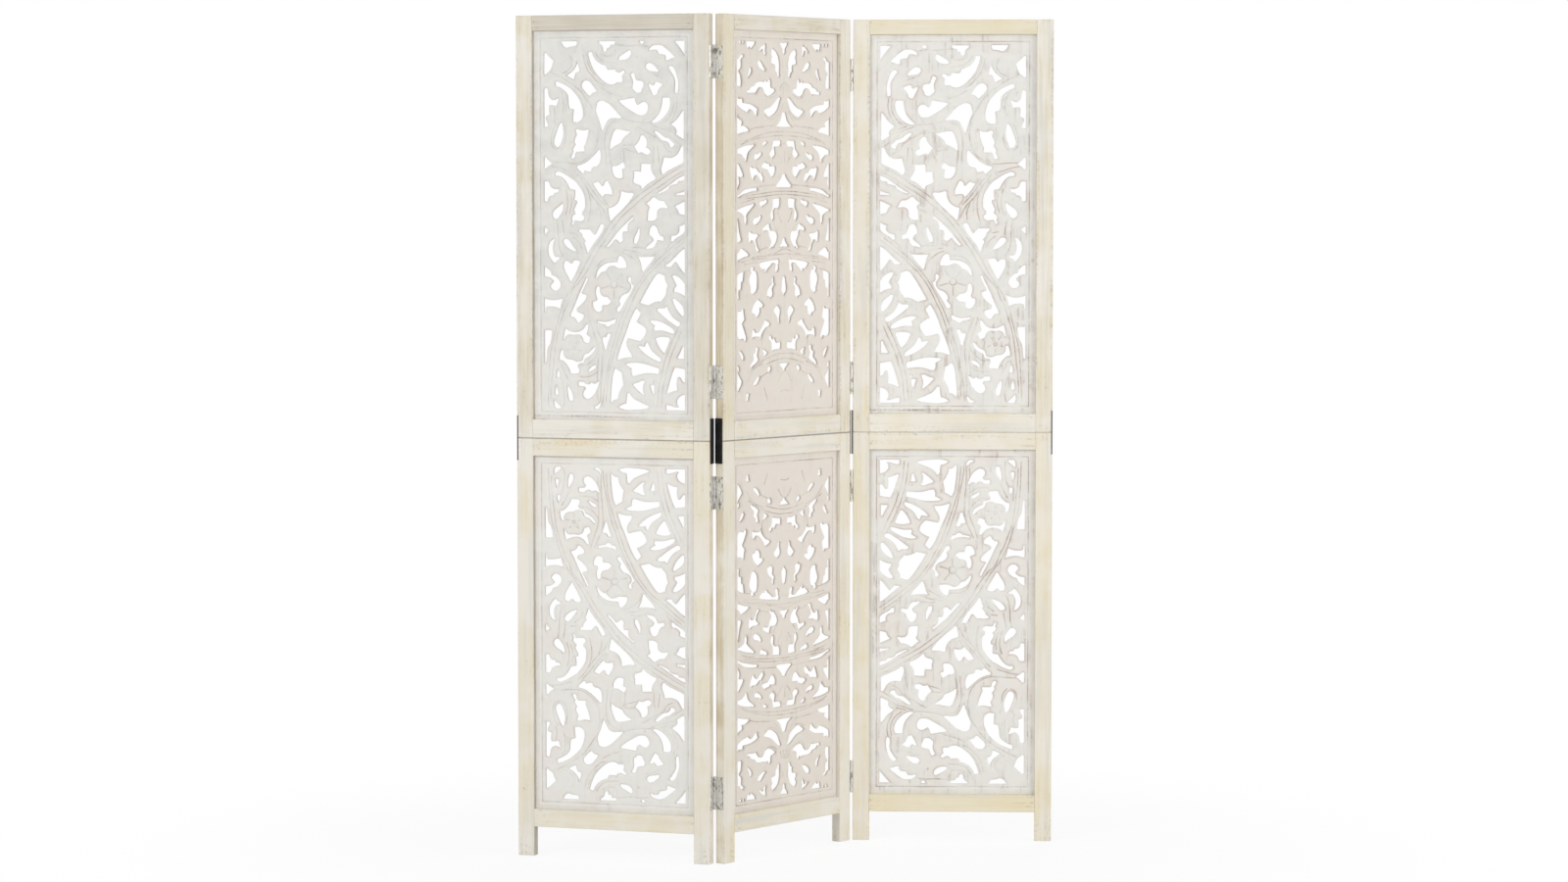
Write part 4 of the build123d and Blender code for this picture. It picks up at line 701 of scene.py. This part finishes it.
def carving_tree():
    tree = bpy.data.node_groups.new("carving", "GeometryNodeTree")
    for name, kind, value in CARVING_INPUTS:
        socket = tree.interface.new_socket(name, in_out="INPUT", socket_type=kind)
        if value is not None:
            socket.default_value = value
    tree.interface.new_socket("Geometry", in_out="OUTPUT", socket_type="NodeSocketGeometry")
    nodes = Nodes(tree)
    given = nodes.add("NodeGroupInput")
    place = nodes.add("GeometryNodeInputPosition")
    side = nodes.add("GeometryNodeInputNamedAttribute", {"Name": "side"}, data_type="FLOAT")
    distances = {}
    for name in ("Holes", "Lines"):
        target = nodes.add("GeometryNodeObjectInfo", {"Object": given.output(name)}, "Geometry")
        level = nodes.vector("MULTIPLY", place, (1, 1, 0))
        distances[name] = nodes.add("GeometryNodeProximity", {0: target, "Sample Position": level},
                                    "Distance", target_element="EDGES")
    rim = (1 - distances["Holes"] / given.output("Rim Width")).clamped()
    cut = (1 - distances["Lines"] / (given.output("Line Width") * 0.5)).clamped()
    lumps = nodes.noise(place, LUMP_SIZE, detail=2.0)
    front_share = side.most(0.0)
    back_share = (0 - side).most(0.0)
    deeper = 0.75 + 0.5 * nodes.noise(place, RIM_LUMP_SIZE, 1.0)
    drop = rim ** RIM_ROUNDNESS * given.output("Rim Drop") * deeper
    depth = drop + cut * given.output("Line Depth") + lumps * given.output("Unevenness")
    offset = (0 - depth) * front_share + drop * back_share * given.output("Back Share")
    vector = nodes.add("ShaderNodeCombineXYZ", {"Z": offset})
    moved = nodes.add("GeometryNodeSetPosition", {"Geometry": given.output("Geometry"), "Offset": vector})
    for name, value in (("rim", rim), ("line", cut * front_share)):
        moved = nodes.add("GeometryNodeStoreNamedAttribute",
                          {"Geometry": moved, "Name": name, "Value": value}, data_type="FLOAT",
                          domain="POINT")
    real = nodes.add("GeometryNodeRealizeInstances", {"Geometry": moved})
    painted = nodes.add("GeometryNodeSetMaterial", {"Geometry": real, "Material": given.output("Paint")})
    nodes.add("NodeGroupOutput", {"Geometry": painted})
    return tree


carving = carving_tree()
print("the carving's inputs:", [name for name, _, _ in CARVING_INPUTS])

# %% [markdown]
# The modifier's inputs are set by the sockets' identifiers. The result is taken off the board as a plain mesh
# and carried to the room, and the modifier and its guides go.


# %% One carved board
SHARP_ANGLE = math.radians(55)


def carved_board(panel, half, paint):
    blank, holes, lines = carving_blank(panel, half)
    board = placed(blank.name, blank)
    guides = {"Holes": placed(holes.name, holes), "Lines": placed(lines.name, lines)}
    modifier = board.modifiers.new("carving", "NODES")
    modifier.node_group = carving
    sockets = {item.name: item.identifier for item in carving.interface.items_tree
               if item.in_out == "INPUT"}
    for name, value in {**guides, "Paint": paint}.items():
        modifier[sockets[name]] = value
    bpy.context.view_layer.update()
    depsgraph = bpy.context.evaluated_depsgraph_get()
    carved = bpy.data.meshes.new_from_object(board.evaluated_get(depsgraph), depsgraph=depsgraph,
                                             preserve_all_data_layers=True)
    board.modifiers.remove(modifier)
    board.data = carved
    for guide in guides.values():
        bpy.data.objects.remove(guide)
    carved.transform(TO_ROOM[panel])
    carved.polygons.foreach_set("use_smooth", [True] * len(carved.polygons))
    carved.set_sharp_from_angle(angle=SHARP_ANGLE)
    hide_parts(f"{panel}_{half}_carved_board")
    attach(board, f"{panel}_panel")
    return board


print("edges sharper than", round(math.degrees(SHARP_ANGLE)), "degrees stay crisp")

# %% [markdown]
# ## Paint and wood colours
# Colours are written as they look on the finished wood, from 0 to 255, and turned into the linear values
# that the shader works with. The whitewash is one thin coat: chalky white on the boards, creamier on the
# frames where the oil of the mango wood has yellowed it, with bare brown wood wherever it was rubbed.


# %% Colours
def colour(red, green, blue):
    def linear(value):
        share = value / 255
        return share / 12.92 if share <= 0.04045 else ((share + 0.055) / 1.055) ** 2.4
    return (linear(red), linear(green), linear(blue), 1)


CHALK = colour(236, 234, 228)
GREY_CHALK = colour(214, 214, 210)
PINK_CHALK = colour(233, 224, 216)
CREAM = colour(232, 225, 208)
PALE_CREAM = colour(236, 231, 220)
YELLOWED = colour(230, 217, 180)
BARE_WOOD = colour(148, 118, 96)
DARK_WOOD = colour(96, 72, 58)
ROSE_WOOD = colour(186, 166, 152)
GRIME = colour(118, 106, 98)
BLACKENED = colour(22, 21, 21)
ZINC = colour(228, 227, 222)
print("chalk in linear values:", [round(value, 2) for value in CHALK])

# %% [markdown]
# ## The way the grain runs
# A pattern that follows the wood needs coordinates that follow it. A UV map would do that, but it would have
# to be made for every piece. Here a Mapping node turns the object's coordinates into the panel's, x along it
# and y into it, and one helper serves every piece. Squeezing the noise along the grain then stretches its
# lumps into streaks.


# %% Material helpers
ALONG_GRAIN = 0.05


def new_paint(name):
    material = bpy.data.materials.new(name)
    material.use_nodes = True
    material.node_tree.nodes.clear()
    return material, Nodes(material.node_tree)


def on_panel(nodes, panel):
    """Panel coordinates in metres: x along the panel, y back from its front face, z up."""
    turn = math.radians(PANEL_ANGLES[panel])
    origin = TO_ROOM[panel].translation
    shift = Matrix.Rotation(-turn, 3, "Z") @ -origin
    room = nodes.add("ShaderNodeTexCoord", output="Object")
    return nodes.add("ShaderNodeMapping", {"Vector": room, "Location": shift, "Rotation": (0, 0, -turn)},
                     vector_type="POINT")


def along_grain(nodes, place, grain, start):
    """Coordinates squeezed along the grain, and moved so that no two pieces share a stretch of it."""
    squeeze = (ALONG_GRAIN, 1, 1) if grain == "level" else (1, 1, ALONG_GRAIN)
    return nodes.vector("MULTIPLY", nodes.vector("ADD", place, start), squeeze)


def finished(nodes, base, rough, height, metal=0.0, bump=0.5, distance=0.4 * MM):
    normal = nodes.add("ShaderNodeBump", {"Height": height, "Strength": bump, "Distance": distance})
    shader = nodes.add("ShaderNodeBsdfPrincipled", {"Base Color": base, "Roughness": rough,
                                                    "Metallic": metal, "Normal": normal})
    nodes.add("ShaderNodeOutputMaterial", {"Surface": shader})


print("grain streaks are", round(1 / ALONG_GRAIN), "times as long as they are wide")

# %% [markdown]
# ## Whitewash on the boards
# The boards are sawn with the grain upright. The gouge goes through the paint: the lines and the rims show
# rosy brown wood, broken up where the brush left more paint. The attributes that the carving kept say where
# the cuts are, so the wear sits exactly on them.


# %% How each panel's boards are painted
# A grey painted shadow that the frame casts onto the board's margin, and a brown stain.
FRAME_SHADOW_GREY = colour(198, 193, 187)
BROWN_STAIN = colour(184, 168, 160)
FRAME_SHADOW_REACH = 13 * MM
PAINTED_SHADE_HEIGHTS = (0.7, 1.2)
SILL_WIDTH = 3 * MM
CLEAN_FROM = (0.15, 0.3)
# The shares, from 0 to 1: how grey the paint is low down and high up, where the rise with height is painted
# shade on the upper boards, how hard the lines and the rims were rubbed, how strong the painted shadow beside
# the frame and the brown stain are, and how dirty the border above the mid joint is.
BOARD_LOOKS = {
    "left": SimpleNamespace(
        chalk=CHALK, grey_and_shade_low=0.15, grey_and_shade_high=0.75, line_wear=0.4, rim_wear=0.15,
        wood=colour(168, 165, 161), frame_shadow=0.25, brown_stain=0.12, dirt=GRIME, dirtiness=0.6),
    "middle": SimpleNamespace(
        # The middle panel's chalk is darker than the others': painted shade for the turned middle panel, and
        # pinker in tone.
        chalk=colour(233, 225, 215), grey_and_shade_low=0.15, grey_and_shade_high=0.15, line_wear=0.7, rim_wear=0.25,
        wood=colour(178, 162, 148), frame_shadow=0.15, brown_stain=0.15, dirt=GRIME, dirtiness=0.1),
    "right": SimpleNamespace(
        chalk=CHALK, grey_and_shade_low=0.35, grey_and_shade_high=0.45, line_wear=0.6, rim_wear=0.14,
        wood=colour(172, 157, 148), frame_shadow=0.2, brown_stain=0.6, dirt=DARK_WOOD, dirtiness=0.75),
}
print({panel: look.line_wear for panel, look in BOARD_LOOKS.items()}, "wear in the lines")

# %% [markdown]
# The paint could be painted by hand on an image, but then every board would need its own. Noises are enough,
# each in the size of what it stands for: fibres, brush marks, clouds, patches and specks. The one thin coat
# isn't even, so the shader lays its colours over one another, each by its own share.

# %% The patterns and the coat
def board_patterns(nodes, place, panel):
    grain = along_grain(nodes, place, "upright", (0.3 * PANELS.index(panel), 0, 0))
    return SimpleNamespace(
        fibres=nodes.noise(grain, 1.6 * MM, 4.0, 0.65),
        brushed=nodes.noise(grain, 9 * MM, 3.0, 0.6, 0.4),
        clouds=nodes.noise(place, 38 * MM, 4.0, 0.62, 0.5),
        patches=nodes.noise(nodes.vector("ADD", place, (0.4, 0.2, 0.7)), 60 * MM, 3.0, 0.55),
        specks=nodes.noise(place, 5 * MM, 3.0, 0.7))


def board_coat(nodes, look, noise, height):
    """The brushed whitewash, greyer where it is thin and creamier where it is thick, with painted shade that
    greys it higher up.
    """
    # The grey's rise with height is painted shade; the clouds' patches of grey are the paint's own tone.
    grey = height.rising(*PAINTED_SHADE_HEIGHTS) * (look.grey_and_shade_high - look.grey_and_shade_low) + look.grey_and_shade_low
    return nodes.layered(look.chalk,
                         ((noise.clouds.rising(0.35, 0.65) * 0.5 + 0.5) * grey, GREY_CHALK),
                         (noise.patches.rising(0.46, 0.66) * 0.4, PINK_CHALK),
                         (noise.brushed.rising(0.55, 0.8) * 0.3, CREAM))


def inside_window(across, height, panel):
    """How far inside the frame's window a point is, in whichever half it lies."""
    reaches = []
    for half in HALVES:
        left, right, bottom, top = opening_in_frame(panel, half)
        reaches.append((across - left).least(right - across).least(height - bottom).least(top - height))
    return reaches[0].most(reaches[1])


# How far the frame's painted shadow reaches onto the board.
print("the stain reaches", FRAME_SHADOW_REACH / MM, "mm from the frame")

# %% [markdown]
# Beside the frame the board gets a painted shadow of the frame, and brown stains gather beside the cuts. The
# wear comes after them, because it takes paint and stain away together and shows the wood. In the cuts it
# follows the depths that the carving kept, and the openings' walls get painted shade in the bare wood's
# colour.
# The dirt on the border above the mid joint lies on top of all.

# %% Painted frame shadow, stains and wear on the boards
def board_shadow_and_stains(nodes, look, noise, cuts, inside, base):
    # Painted shadow of the frame on the sunk board, greyest next to the frame.
    edge = (1 - inside / FRAME_SHADOW_REACH).clamped()
    edge = edge.rising(0.1, 0.6) * (0.3 + (noise.clouds - 0.42) * 2.6).clamped()
    beside_cuts = cuts["line"].most(cuts["rim"]) + noise.clouds - 0.5
    streaks = (noise.brushed.rising(0.50, 0.68) * noise.clouds.rising(0.46, 0.62)).most(
        beside_cuts.clamped() * noise.patches.rising(0.45, 0.6) * 0.7)
    return nodes.layered(base, (edge * look.frame_shadow, FRAME_SHADOW_GREY),
                         (streaks * look.brown_stain, BROWN_STAIN))


def board_wear(nodes, look, noise, cuts, base):
    """The base with bare wood where the paint is gone and painted shade on the openings' walls, and the share
    of the two together.
    """
    worked = noise.patches.rising(0.44, 0.62) * 0.85 + 0.15
    in_lines = (cuts["line"] * 1.1 - (noise.specks - 0.4) * 0.9).rising(0.2, 1.0)
    on_rims = (cuts["rim"] - (noise.specks - 0.4) * 0.8).rising(0.25, 1.1)
    on_rims = on_rims * look.rim_wear * (worked * 1.3)
    # Painted shade on the openings' walls, in the bare wood's colour.
    shaded_walls = cuts["wall"] * (0.7 - (noise.brushed - 0.5) * 1.2).clamped() * 0.6
    rubbed = (noise.fibres.rising(0.58, 0.76) * noise.clouds.rising(0.5, 0.7)) * 0.35
    shown = (in_lines * look.line_wear * worked).most(on_rims).most(shaded_walls).most(rubbed)
    bare = nodes.mixed(noise.fibres * 0.6, look.wood, BARE_WOOD)
    darkest = in_lines * (noise.clouds * 0.6 + noise.fibres * 0.4).rising(0.50, 0.62)
    return nodes.layered(base, (shown, bare), (darkest * (look.line_wear * 0.7), DARK_WOOD)), shown


def dirty_sill(nodes, look, noise, place, above_sill, across, base):
    """A dirty streak along the carved border just above the mid joint, strongest at the left."""
    sill = (1 - nodes.math("ABSOLUTE", above_sill - BORDER * MM) / SILL_WIDTH).clamped()
    streaks = nodes.noise(along_grain(nodes, place, "level", (0.7, 0, 0)), 4 * MM, 3.0, 0.6)
    sill = sill * (streaks * 0.6 + noise.specks * 0.4).rising(0.42, 0.56) * (1 - across.rising(*CLEAN_FROM))
    return nodes.mixed(sill * look.dirtiness, base, look.dirt)


print("the sill's dirt ends", CLEAN_FROM[1] / MM, "mm along the panel")

# %% [markdown]
# One function puts these steps in their order, once for each panel. Its two boards share the result.

# %% Board paint
def board_paint(panel):
    look = BOARD_LOOKS[panel]
    material, nodes = new_paint(f"{panel}_board_whitewash")
    place = on_panel(nodes, panel)
    across, _, height = nodes.split(place)
    noise = board_patterns(nodes, place, panel)
    cuts = {name: nodes.add("ShaderNodeAttribute", output="Fac", attribute_name=name)
            for name in ("rim", "line", "wall")}
    base = board_coat(nodes, look, noise, height)
    base = board_shadow_and_stains(nodes, look, noise, cuts, inside_window(across, height, panel), base)
    base, shown = board_wear(nodes, look, noise, cuts, base)
    above_sill = height - opening_in_frame(panel, "upper")[2]
    base = dirty_sill(nodes, look, noise, place, above_sill, across, base)
    rough = 0.78 + (noise.fibres - 0.5) * 0.25 - shown * 0.08
    surface = noise.fibres * 0.4 + noise.clouds * 0.6 - shown * 0.3
    finished(nodes, base, rough, surface, bump=0.6, distance=0.6 * MM)
    return material


board_paints = {panel: board_paint(panel) for panel in PANELS}
print([len(paint.node_tree.nodes) for paint in board_paints.values()], "nodes in the boards' paints")

# %% [markdown]
# ## Whitewash on the frames
# Each stile and rail is a straight length of wood, with the grain along it. The paint is thin on the edges,
# because hands and the sander reach them first, and it gathers dirt at the joints. How far a point is from
# the nearest edge of its piece comes from the piece's own size: of the three distances to its faces, the
# middle one is the distance to an edge.


# %% Where a frame piece wears
JOINT_SPARE = 0.05
STILE_WIDTH = float(panel_box("left", "left_upper_left_stile")[1][0])
FRAME_WIDTH = float(panel_box("left", "left_upper_right_stile")[1][0])
JOINT_HEIGHT = float(panel_box("left", "left_upper_left_stile")[0][1])


def edge_distance(nodes, place, low, high):
    spans = [(value - start).least(end - value).most(0.0)
             for value, start, end in zip(nodes.split(place), low, high)]
    x, y, z = spans
    return x.least(y).most(x.most(y).least(z))


def visible_box(panel, half, member):
    """A piece's box in the paint's coordinates. A rail's ends are in the joints, where nothing wears."""
    low, high = panel_box(panel, f"{panel}_{half}_{member}")
    if member.endswith("rail"):
        left, right = opening_in_frame(panel, half)[:2]
        low[0], high[0] = left - JOINT_SPARE, right + JOINT_SPARE
    return (low[0], -high[2], low[1]), (high[0], -low[2], high[1])


print("stiles", round(STILE_WIDTH / MM, 1), "mm wide, mid joint", round(JOINT_HEIGHT / MM), "mm up")

# %% [markdown]
# The pieces of the frames are not all alike: some have yellowed or warmed with age, and the upper ones get a
# grey of painted shade, greyest on the left panel's top rail. The middle panel's upper left stile gets a
# shaded cream, also painted shade. A short table gives a tint to the pieces that differ from the usual cream.

# %% The tints and painted shade of the frame pieces
# A grey of painted shade for upper frame pieces.
SHADE_GREY = colour(203, 196, 181)
SHADED_CREAM = colour(224, 213, 184)
WARM_CREAM = colour(228, 216, 184)
TAN = colour(190, 175, 147)
SHADED_WOOD = colour(150, 137, 116)
# How dark the dirt in the mid joint is, how much painted shade darkens the stiles' inner faces, and how thin
# the paint is on their outer faces.
SEAM_SHARES = {"left": 0.5, "middle": 0.6, "right": 0.2}
INNER_FACE_SHADE = {"left": 0.8, "middle": 0.12, "right": 0.12}
OUTER_THINNESS = {"upper": 0.6, "lower": 0.4}
# The pieces whose colour is off the usual cream, with the tint and its share. The greys and the shaded cream
# are painted shade; the yellows and the warm cream are the paint's own tone.
FRAME_TINTS_AND_SHADE = {
    "left_upper_top_rail": (SHADE_GREY, 0.9), "left_upper_left_stile": (SHADE_GREY, 0.2),
    "left_upper_right_stile": (SHADE_GREY, 0.45), "left_upper_bottom_rail": (SHADE_GREY, 0.1),
    "middle_upper_left_stile": (SHADED_CREAM, 0.5), "middle_upper_right_stile": (SHADE_GREY, 0.15),
    "middle_upper_top_rail": (SHADE_GREY, 0.2), "right_upper_top_rail": (WARM_CREAM, 0.65),
    "right_upper_right_stile": (SHADE_GREY, 0.12), "right_lower_bottom_rail": (YELLOWED, 0.6),
    "left_lower_bottom_rail": (YELLOWED, 0.15), "right_lower_left_stile": (YELLOWED, 0.2),
    "right_lower_right_stile": (YELLOWED, 0.25)}
print(len(FRAME_TINTS_AND_SHADE), "frame pieces have a tint of their own")

# %% [markdown]
# Every piece starts its noises at another place, so no two look alike. A stile shows two narrow faces: on the
# outer one the brush left less paint, and the inner one, beside the sunk board, gets painted shade. How far
# across the panel a point lies tells whether it is on one of them.

# %% The coat on a frame piece
FACE_SKIN = 0.6 * MM


def frame_patterns(nodes, place, level, number):
    start = (0.37 * number, 0.19 * number, 0.53 * number)
    grain = along_grain(nodes, place, "level" if level else "upright", start)
    moved = nodes.vector("ADD", place, start)
    return SimpleNamespace(
        fibres=nodes.noise(grain, 1.3 * MM, 5.0, 0.65),
        streaks=nodes.noise(grain, 6 * MM, 4.0, 0.6, 0.6),
        bands=nodes.noise(grain, 14 * MM, 2.0),
        broad=nodes.noise(moved, 90 * MM, 3.0, 0.55),
        specks=nodes.noise(moved, 7 * MM, 4.0, 0.7))


def frame_coat(nodes, noise, tint, share):
    yellowed = noise.streaks.rising(0.47, 0.66) * noise.broad.rising(0.40, 0.62)
    return nodes.layered(PALE_CREAM, (noise.broad.rising(0.38, 0.62), CREAM), (yellowed * 0.8, YELLOWED),
                         (noise.bands.rising(0.5, 0.72) * 0.55, GREY_CHALK),
                         ((noise.broad - 0.5) * 0.6 + (noise.streaks - 0.5) * 0.9 + share, tint))


def thin_faces(nodes, noise, panel, half, member, across, base):
    """A stile's two narrow faces: thin paint on the outer one, and painted shade on the inner one beside the
    sunk board.
    """
    faces = (0.0, STILE_WIDTH) if member.startswith("left") else (FRAME_WIDTH, FRAME_WIDTH - STILE_WIDTH)
    outer, inner = ((1 - nodes.math("ABSOLUTE", across - face) / FACE_SKIN).clamped() for face in faces)
    thinness = OUTER_THINNESS[half] + (noise.broad - 0.5) * 2.0 + (noise.streaks - 0.5) * 1.4
    # Painted shade on the inner face, in a dark wood colour.
    inner = inner * (0.5 + (noise.streaks - 0.4) * 1.5).clamped()
    return nodes.layered(base, (outer * thinness.clamped() * 0.8, TAN),
                         (inner * INNER_FACE_SHADE[panel], SHADED_WOOD))


print("a stile's narrow faces lie", round(STILE_WIDTH / MM, 1), "mm apart")

# %% [markdown]
# Dirt collects in the joint between the upper and the lower frame and where hands hold the screen. Edges are
# rubbed bare, and so are some streaks and spots between them. The dirt and the worn edges follow distances
# again, and the noises break them up.

# %% Dirt and wear on a frame piece
SEAM_REACH = 2.0 * MM
SMEAR_REACH = 22 * MM
WORN_REACH = 2.0 * MM


def frame_dirt(nodes, noise, panel, from_joint, near_end, base):
    seam = (1 - from_joint / SEAM_REACH).rising(0.0, 0.5) * (noise.specks.rising(0.2, 0.5) * 0.6 + 0.4)
    smear = (1 - from_joint / SMEAR_REACH).clamped() * noise.specks.rising(0.50, 0.68)
    smear = smear * noise.streaks.rising(0.42, 0.6)
    handled = near_end * noise.specks.rising(0.46, 0.66) * noise.streaks.rising(0.45, 0.62)
    smudge = noise.broad.rising(0.54, 0.66) * noise.specks.rising(0.50, 0.70)
    smudge = smudge * noise.streaks.rising(0.48, 0.66)
    dirty = (seam * SEAM_SHARES[panel]).most(smear * 0.42).most(handled * 0.4).most(smudge * 0.35)
    return nodes.mixed(dirty, base, GRIME)


def frame_wear(nodes, noise, edge, base):
    """The base with bare wood where the paint is gone, and how much of it is bare."""
    worn_edge = ((1 - edge / WORN_REACH).clamped() * 0.8 + (noise.specks - 0.6) * 1.5).rising(0.15, 1.0)
    bare_streak = noise.fibres.rising(0.60, 0.76) * noise.streaks.rising(0.5, 0.66)
    scuff = noise.specks.rising(0.64, 0.78) * noise.broad.rising(0.48, 0.62)
    shown = (worn_edge * 0.45).most(bare_streak * 0.6).most(scuff * 0.5)
    bare = nodes.mixed(noise.fibres.rising(0.4, 0.6), ROSE_WOOD, BARE_WOOD)
    return nodes.mixed(shown, base, bare), shown


print("the joints' dirt reaches", round(SMEAR_REACH / MM), "mm, the edges' wear", WORN_REACH / MM, "mm")

# %% [markdown]
# Each of the 24 pieces gets a material of its own, because the distances need the piece's own size. The
# packed pieces keep their meshes: a finish changes by giving the object, and not its mesh, a material.

# %% Frame paint
# How far the marks of hands reach: along a rail from its end, up from a foot, and in from an upper edge.
RAIL_END, FOOT_END, HELD_EDGE = 45 * MM, 60 * MM, 9 * MM


def frame_paint(panel, half, member, number):
    name = f"{panel}_{half}_{member}"
    material, nodes = new_paint(f"{name}_whitewash")
    place = on_panel(nodes, panel)
    across, _, height = nodes.split(place)
    level = member.endswith("rail")
    noise = frame_patterns(nodes, place, level, number)
    edge = edge_distance(nodes, place, *visible_box(panel, half, member))
    base = frame_coat(nodes, noise, *FRAME_TINTS_AND_SHADE.get(name, (CREAM, 0.0)))
    if level:
        left, right = opening_in_frame(panel, half)[:2]
        near_end = (1 - (across - left).least(right - across) / RAIL_END).clamped()
    else:
        base = thin_faces(nodes, noise, panel, half, member, across, base)
        near_end = (1 - (height / FOOT_END if half == "lower" else edge / HELD_EDGE)).clamped()
    from_joint = nodes.math("ABSOLUTE", height - JOINT_HEIGHT)
    base = frame_dirt(nodes, noise, panel, from_joint, near_end, base)
    base, shown = frame_wear(nodes, noise, edge, base)
    rough = 0.74 + (noise.streaks - 0.5) * 0.2
    finished(nodes, base, rough, noise.fibres * 0.6 + noise.streaks * 0.4 - shown * 0.5)
    return material


def dress(node, material):
    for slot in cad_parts[node].material_slots:
        slot.link = "OBJECT"
        slot.material = material


MEMBERS = ("left_stile", "right_stile", "top_rail", "bottom_rail")
pieces = [(panel, half, member) for panel in PANELS for half in HALVES for member in MEMBERS]
for number, piece in enumerate(pieces, start=1):
    dress("_".join(piece), frame_paint(*piece, number))
print(len(pieces), "frame pieces painted")

# %% [markdown]
# ## Metal
# The hinges are zinc-plated steel, brushed by the tool that pressed them and stained since, and the joining
# plates and their screws are blackened steel that has been handled. Both are small, so a few noises do, and
# each metal is one material for all of its pieces.


# %% Metal finishes
SPANGLE = colour(206, 204, 197)
STAINED_ZINC = colour(124, 116, 104)
RUBBED_BLACK = colour(58, 54, 51)


def zinc():
    material, nodes = new_paint("zinc_plate")
    place = nodes.add("ShaderNodeTexCoord", output="Object")
    brushed = nodes.noise(nodes.vector("MULTIPLY", place, (1, 1, 0.08)), 0.6 * MM, 3.0, 0.6)
    spangle = nodes.noise(place, 3 * MM, 2.0, 0.5)
    dull = nodes.noise(nodes.vector("MULTIPLY", place, (1, 1, 0.4)), 5 * MM, 3.0, 0.6)
    base = nodes.layered(ZINC, (spangle.rising(0.35, 0.65), SPANGLE),
                         (dull.rising(0.52, 0.62) * 0.8, STAINED_ZINC))
    rough = 0.28 + brushed * 0.2 + dull * 0.15
    finished(nodes, base, rough, brushed, metal=0.7, bump=0.25, distance=0.1 * MM)
    return material


def black_steel():
    material, nodes = new_paint("blackened_steel")
    place = nodes.add("ShaderNodeTexCoord", output="Object")
    pitted = nodes.noise(place, 1.2 * MM, 3.0, 0.6)
    rubbed = nodes.noise(place, 11 * MM, 4.0, 0.65)
    base = nodes.mixed(rubbed.rising(0.52, 0.75) * 0.6, BLACKENED, RUBBED_BLACK)
    rough = 0.38 + rubbed * 0.25
    finished(nodes, base, rough, pitted, metal=0.35, bump=0.35, distance=0.15 * MM)
    return material


zinc_finish, black_finish = zinc(), black_steel()
hinge_parts = [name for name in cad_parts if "hinge" in name]
plate_parts = [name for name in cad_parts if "plate" in name and "hinge" not in name]
for name in hinge_parts:
    dress(name, zinc_finish)
for name in plate_parts:
    dress(name, black_finish)
print(len(hinge_parts), "hinge nodes and", len(plate_parts), "plate nodes")

# %% [markdown]
# ## Cutting all six boards
# The two boards of a panel share a paint. Each board is cut on its own, because the openings differ.

# %% Six carved boards
for panel in PANELS:
    for half in HALVES:
        board = carved_board(panel, half, board_paints[panel])
        triangles = sum(len(polygon.vertices) - 2 for polygon in board.data.polygons)
        print(board.name, triangles, "triangles")

# %% [markdown]
# ## The studio
# The screen stands on a white floor that runs into a white background. The world gives most of the light,
# evenly from all round, two large soft lamps give the folds a side, and a third lights the back. The camera
# sees the world as plain white, and so do reflections, because a lit backdrop would never be even.

# %% Light
WORLD_LIGHT = 0.50
AIM = Vector((0, 0, 0.8))
# Each lamp's place, its width and its watts.
LAMPS = (("key_lamp", (-2.8, -3.8, 2.6), 1.6, 79), ("fill_lamp", (4.1, -2.4, 2.0), 4.0, 86),
         ("back_lamp", (0.8, 4.6, 2.6), 2.4, 62))


def seen_directly(nodes):
    """1 for the camera's rays and for what mirrors and clear things show, and 0 for light."""
    ray = nodes.add("ShaderNodeLightPath", output="Is Camera Ray")
    return ray.most(ray.output("Is Glossy Ray")).most(ray.output("Is Transmission Ray"))


world = bpy.data.worlds.new("studio")
world.use_nodes = True
world.node_tree.nodes.clear()
nodes = Nodes(world.node_tree)
strength = seen_directly(nodes) * (1 - WORLD_LIGHT) + WORLD_LIGHT
sky = nodes.add("ShaderNodeBackground", {"Color": (1, 1, 1, 1), "Strength": strength})
nodes.add("ShaderNodeOutputWorld", {"Surface": sky})
bpy.context.scene.world = world

for name, place, size, watts in LAMPS:
    data = bpy.data.lights.new(name, "AREA")
    data.shape, data.size, data.energy = "DISK", size, watts
    lamp = placed(name, data)
    lamp.location = place
    lamp.rotation_euler = (AIM - Vector(place)).to_track_quat("-Z", "Y").to_euler()
print(len(LAMPS), "lamps")

# %% [markdown]
# A plain white floor would show where it ends, and a glowing one would take no shadow. This one is a mix: it
# glows like the background and takes a share of shadow near the screen.

# %% Floor
FLOOR_REACH = 14.0
SHADOW_SHARE = 0.13
SHADOW_REACH = (0.5, 1.6)

material, nodes = new_paint("studio_floor")
matt = nodes.add("ShaderNodeBsdfDiffuse", {"Color": (0.9, 0.9, 0.9, 1)})
white = nodes.add("ShaderNodeEmission", {"Color": (1, 1, 1, 1), "Strength": 1.0})
place = nodes.add("ShaderNodeTexCoord", output="Object")
away = nodes.vector("LENGTH", place).output("Value")
shadowed = SHADOW_SHARE * (1 - away.rising(*SHADOW_REACH))
mixed = nodes.add("ShaderNodeMixShader", {0: seen_directly(nodes) * (1 - shadowed), 1: matt, 2: white})
nodes.add("ShaderNodeOutputMaterial", {"Surface": mixed})
mesh = bpy.data.meshes.new("floor")
corners = ((-1, -1), (1, -1), (1, 1), (-1, 1))
mesh.from_pydata([(x * FLOOR_REACH, y * FLOOR_REACH, 0) for x, y in corners], [], [(0, 1, 2, 3)])
mesh.materials.append(material)
floor = placed("floor", mesh)
bpy.context.scene.view_settings.view_transform = "Standard"
print("a floor", 2 * FLOOR_REACH, "m wide, with shadows up to", SHADOW_REACH[1], "m from the middle")

# %% [markdown]
# ## Sizes
# The looks must not make the screen larger than its packed model.
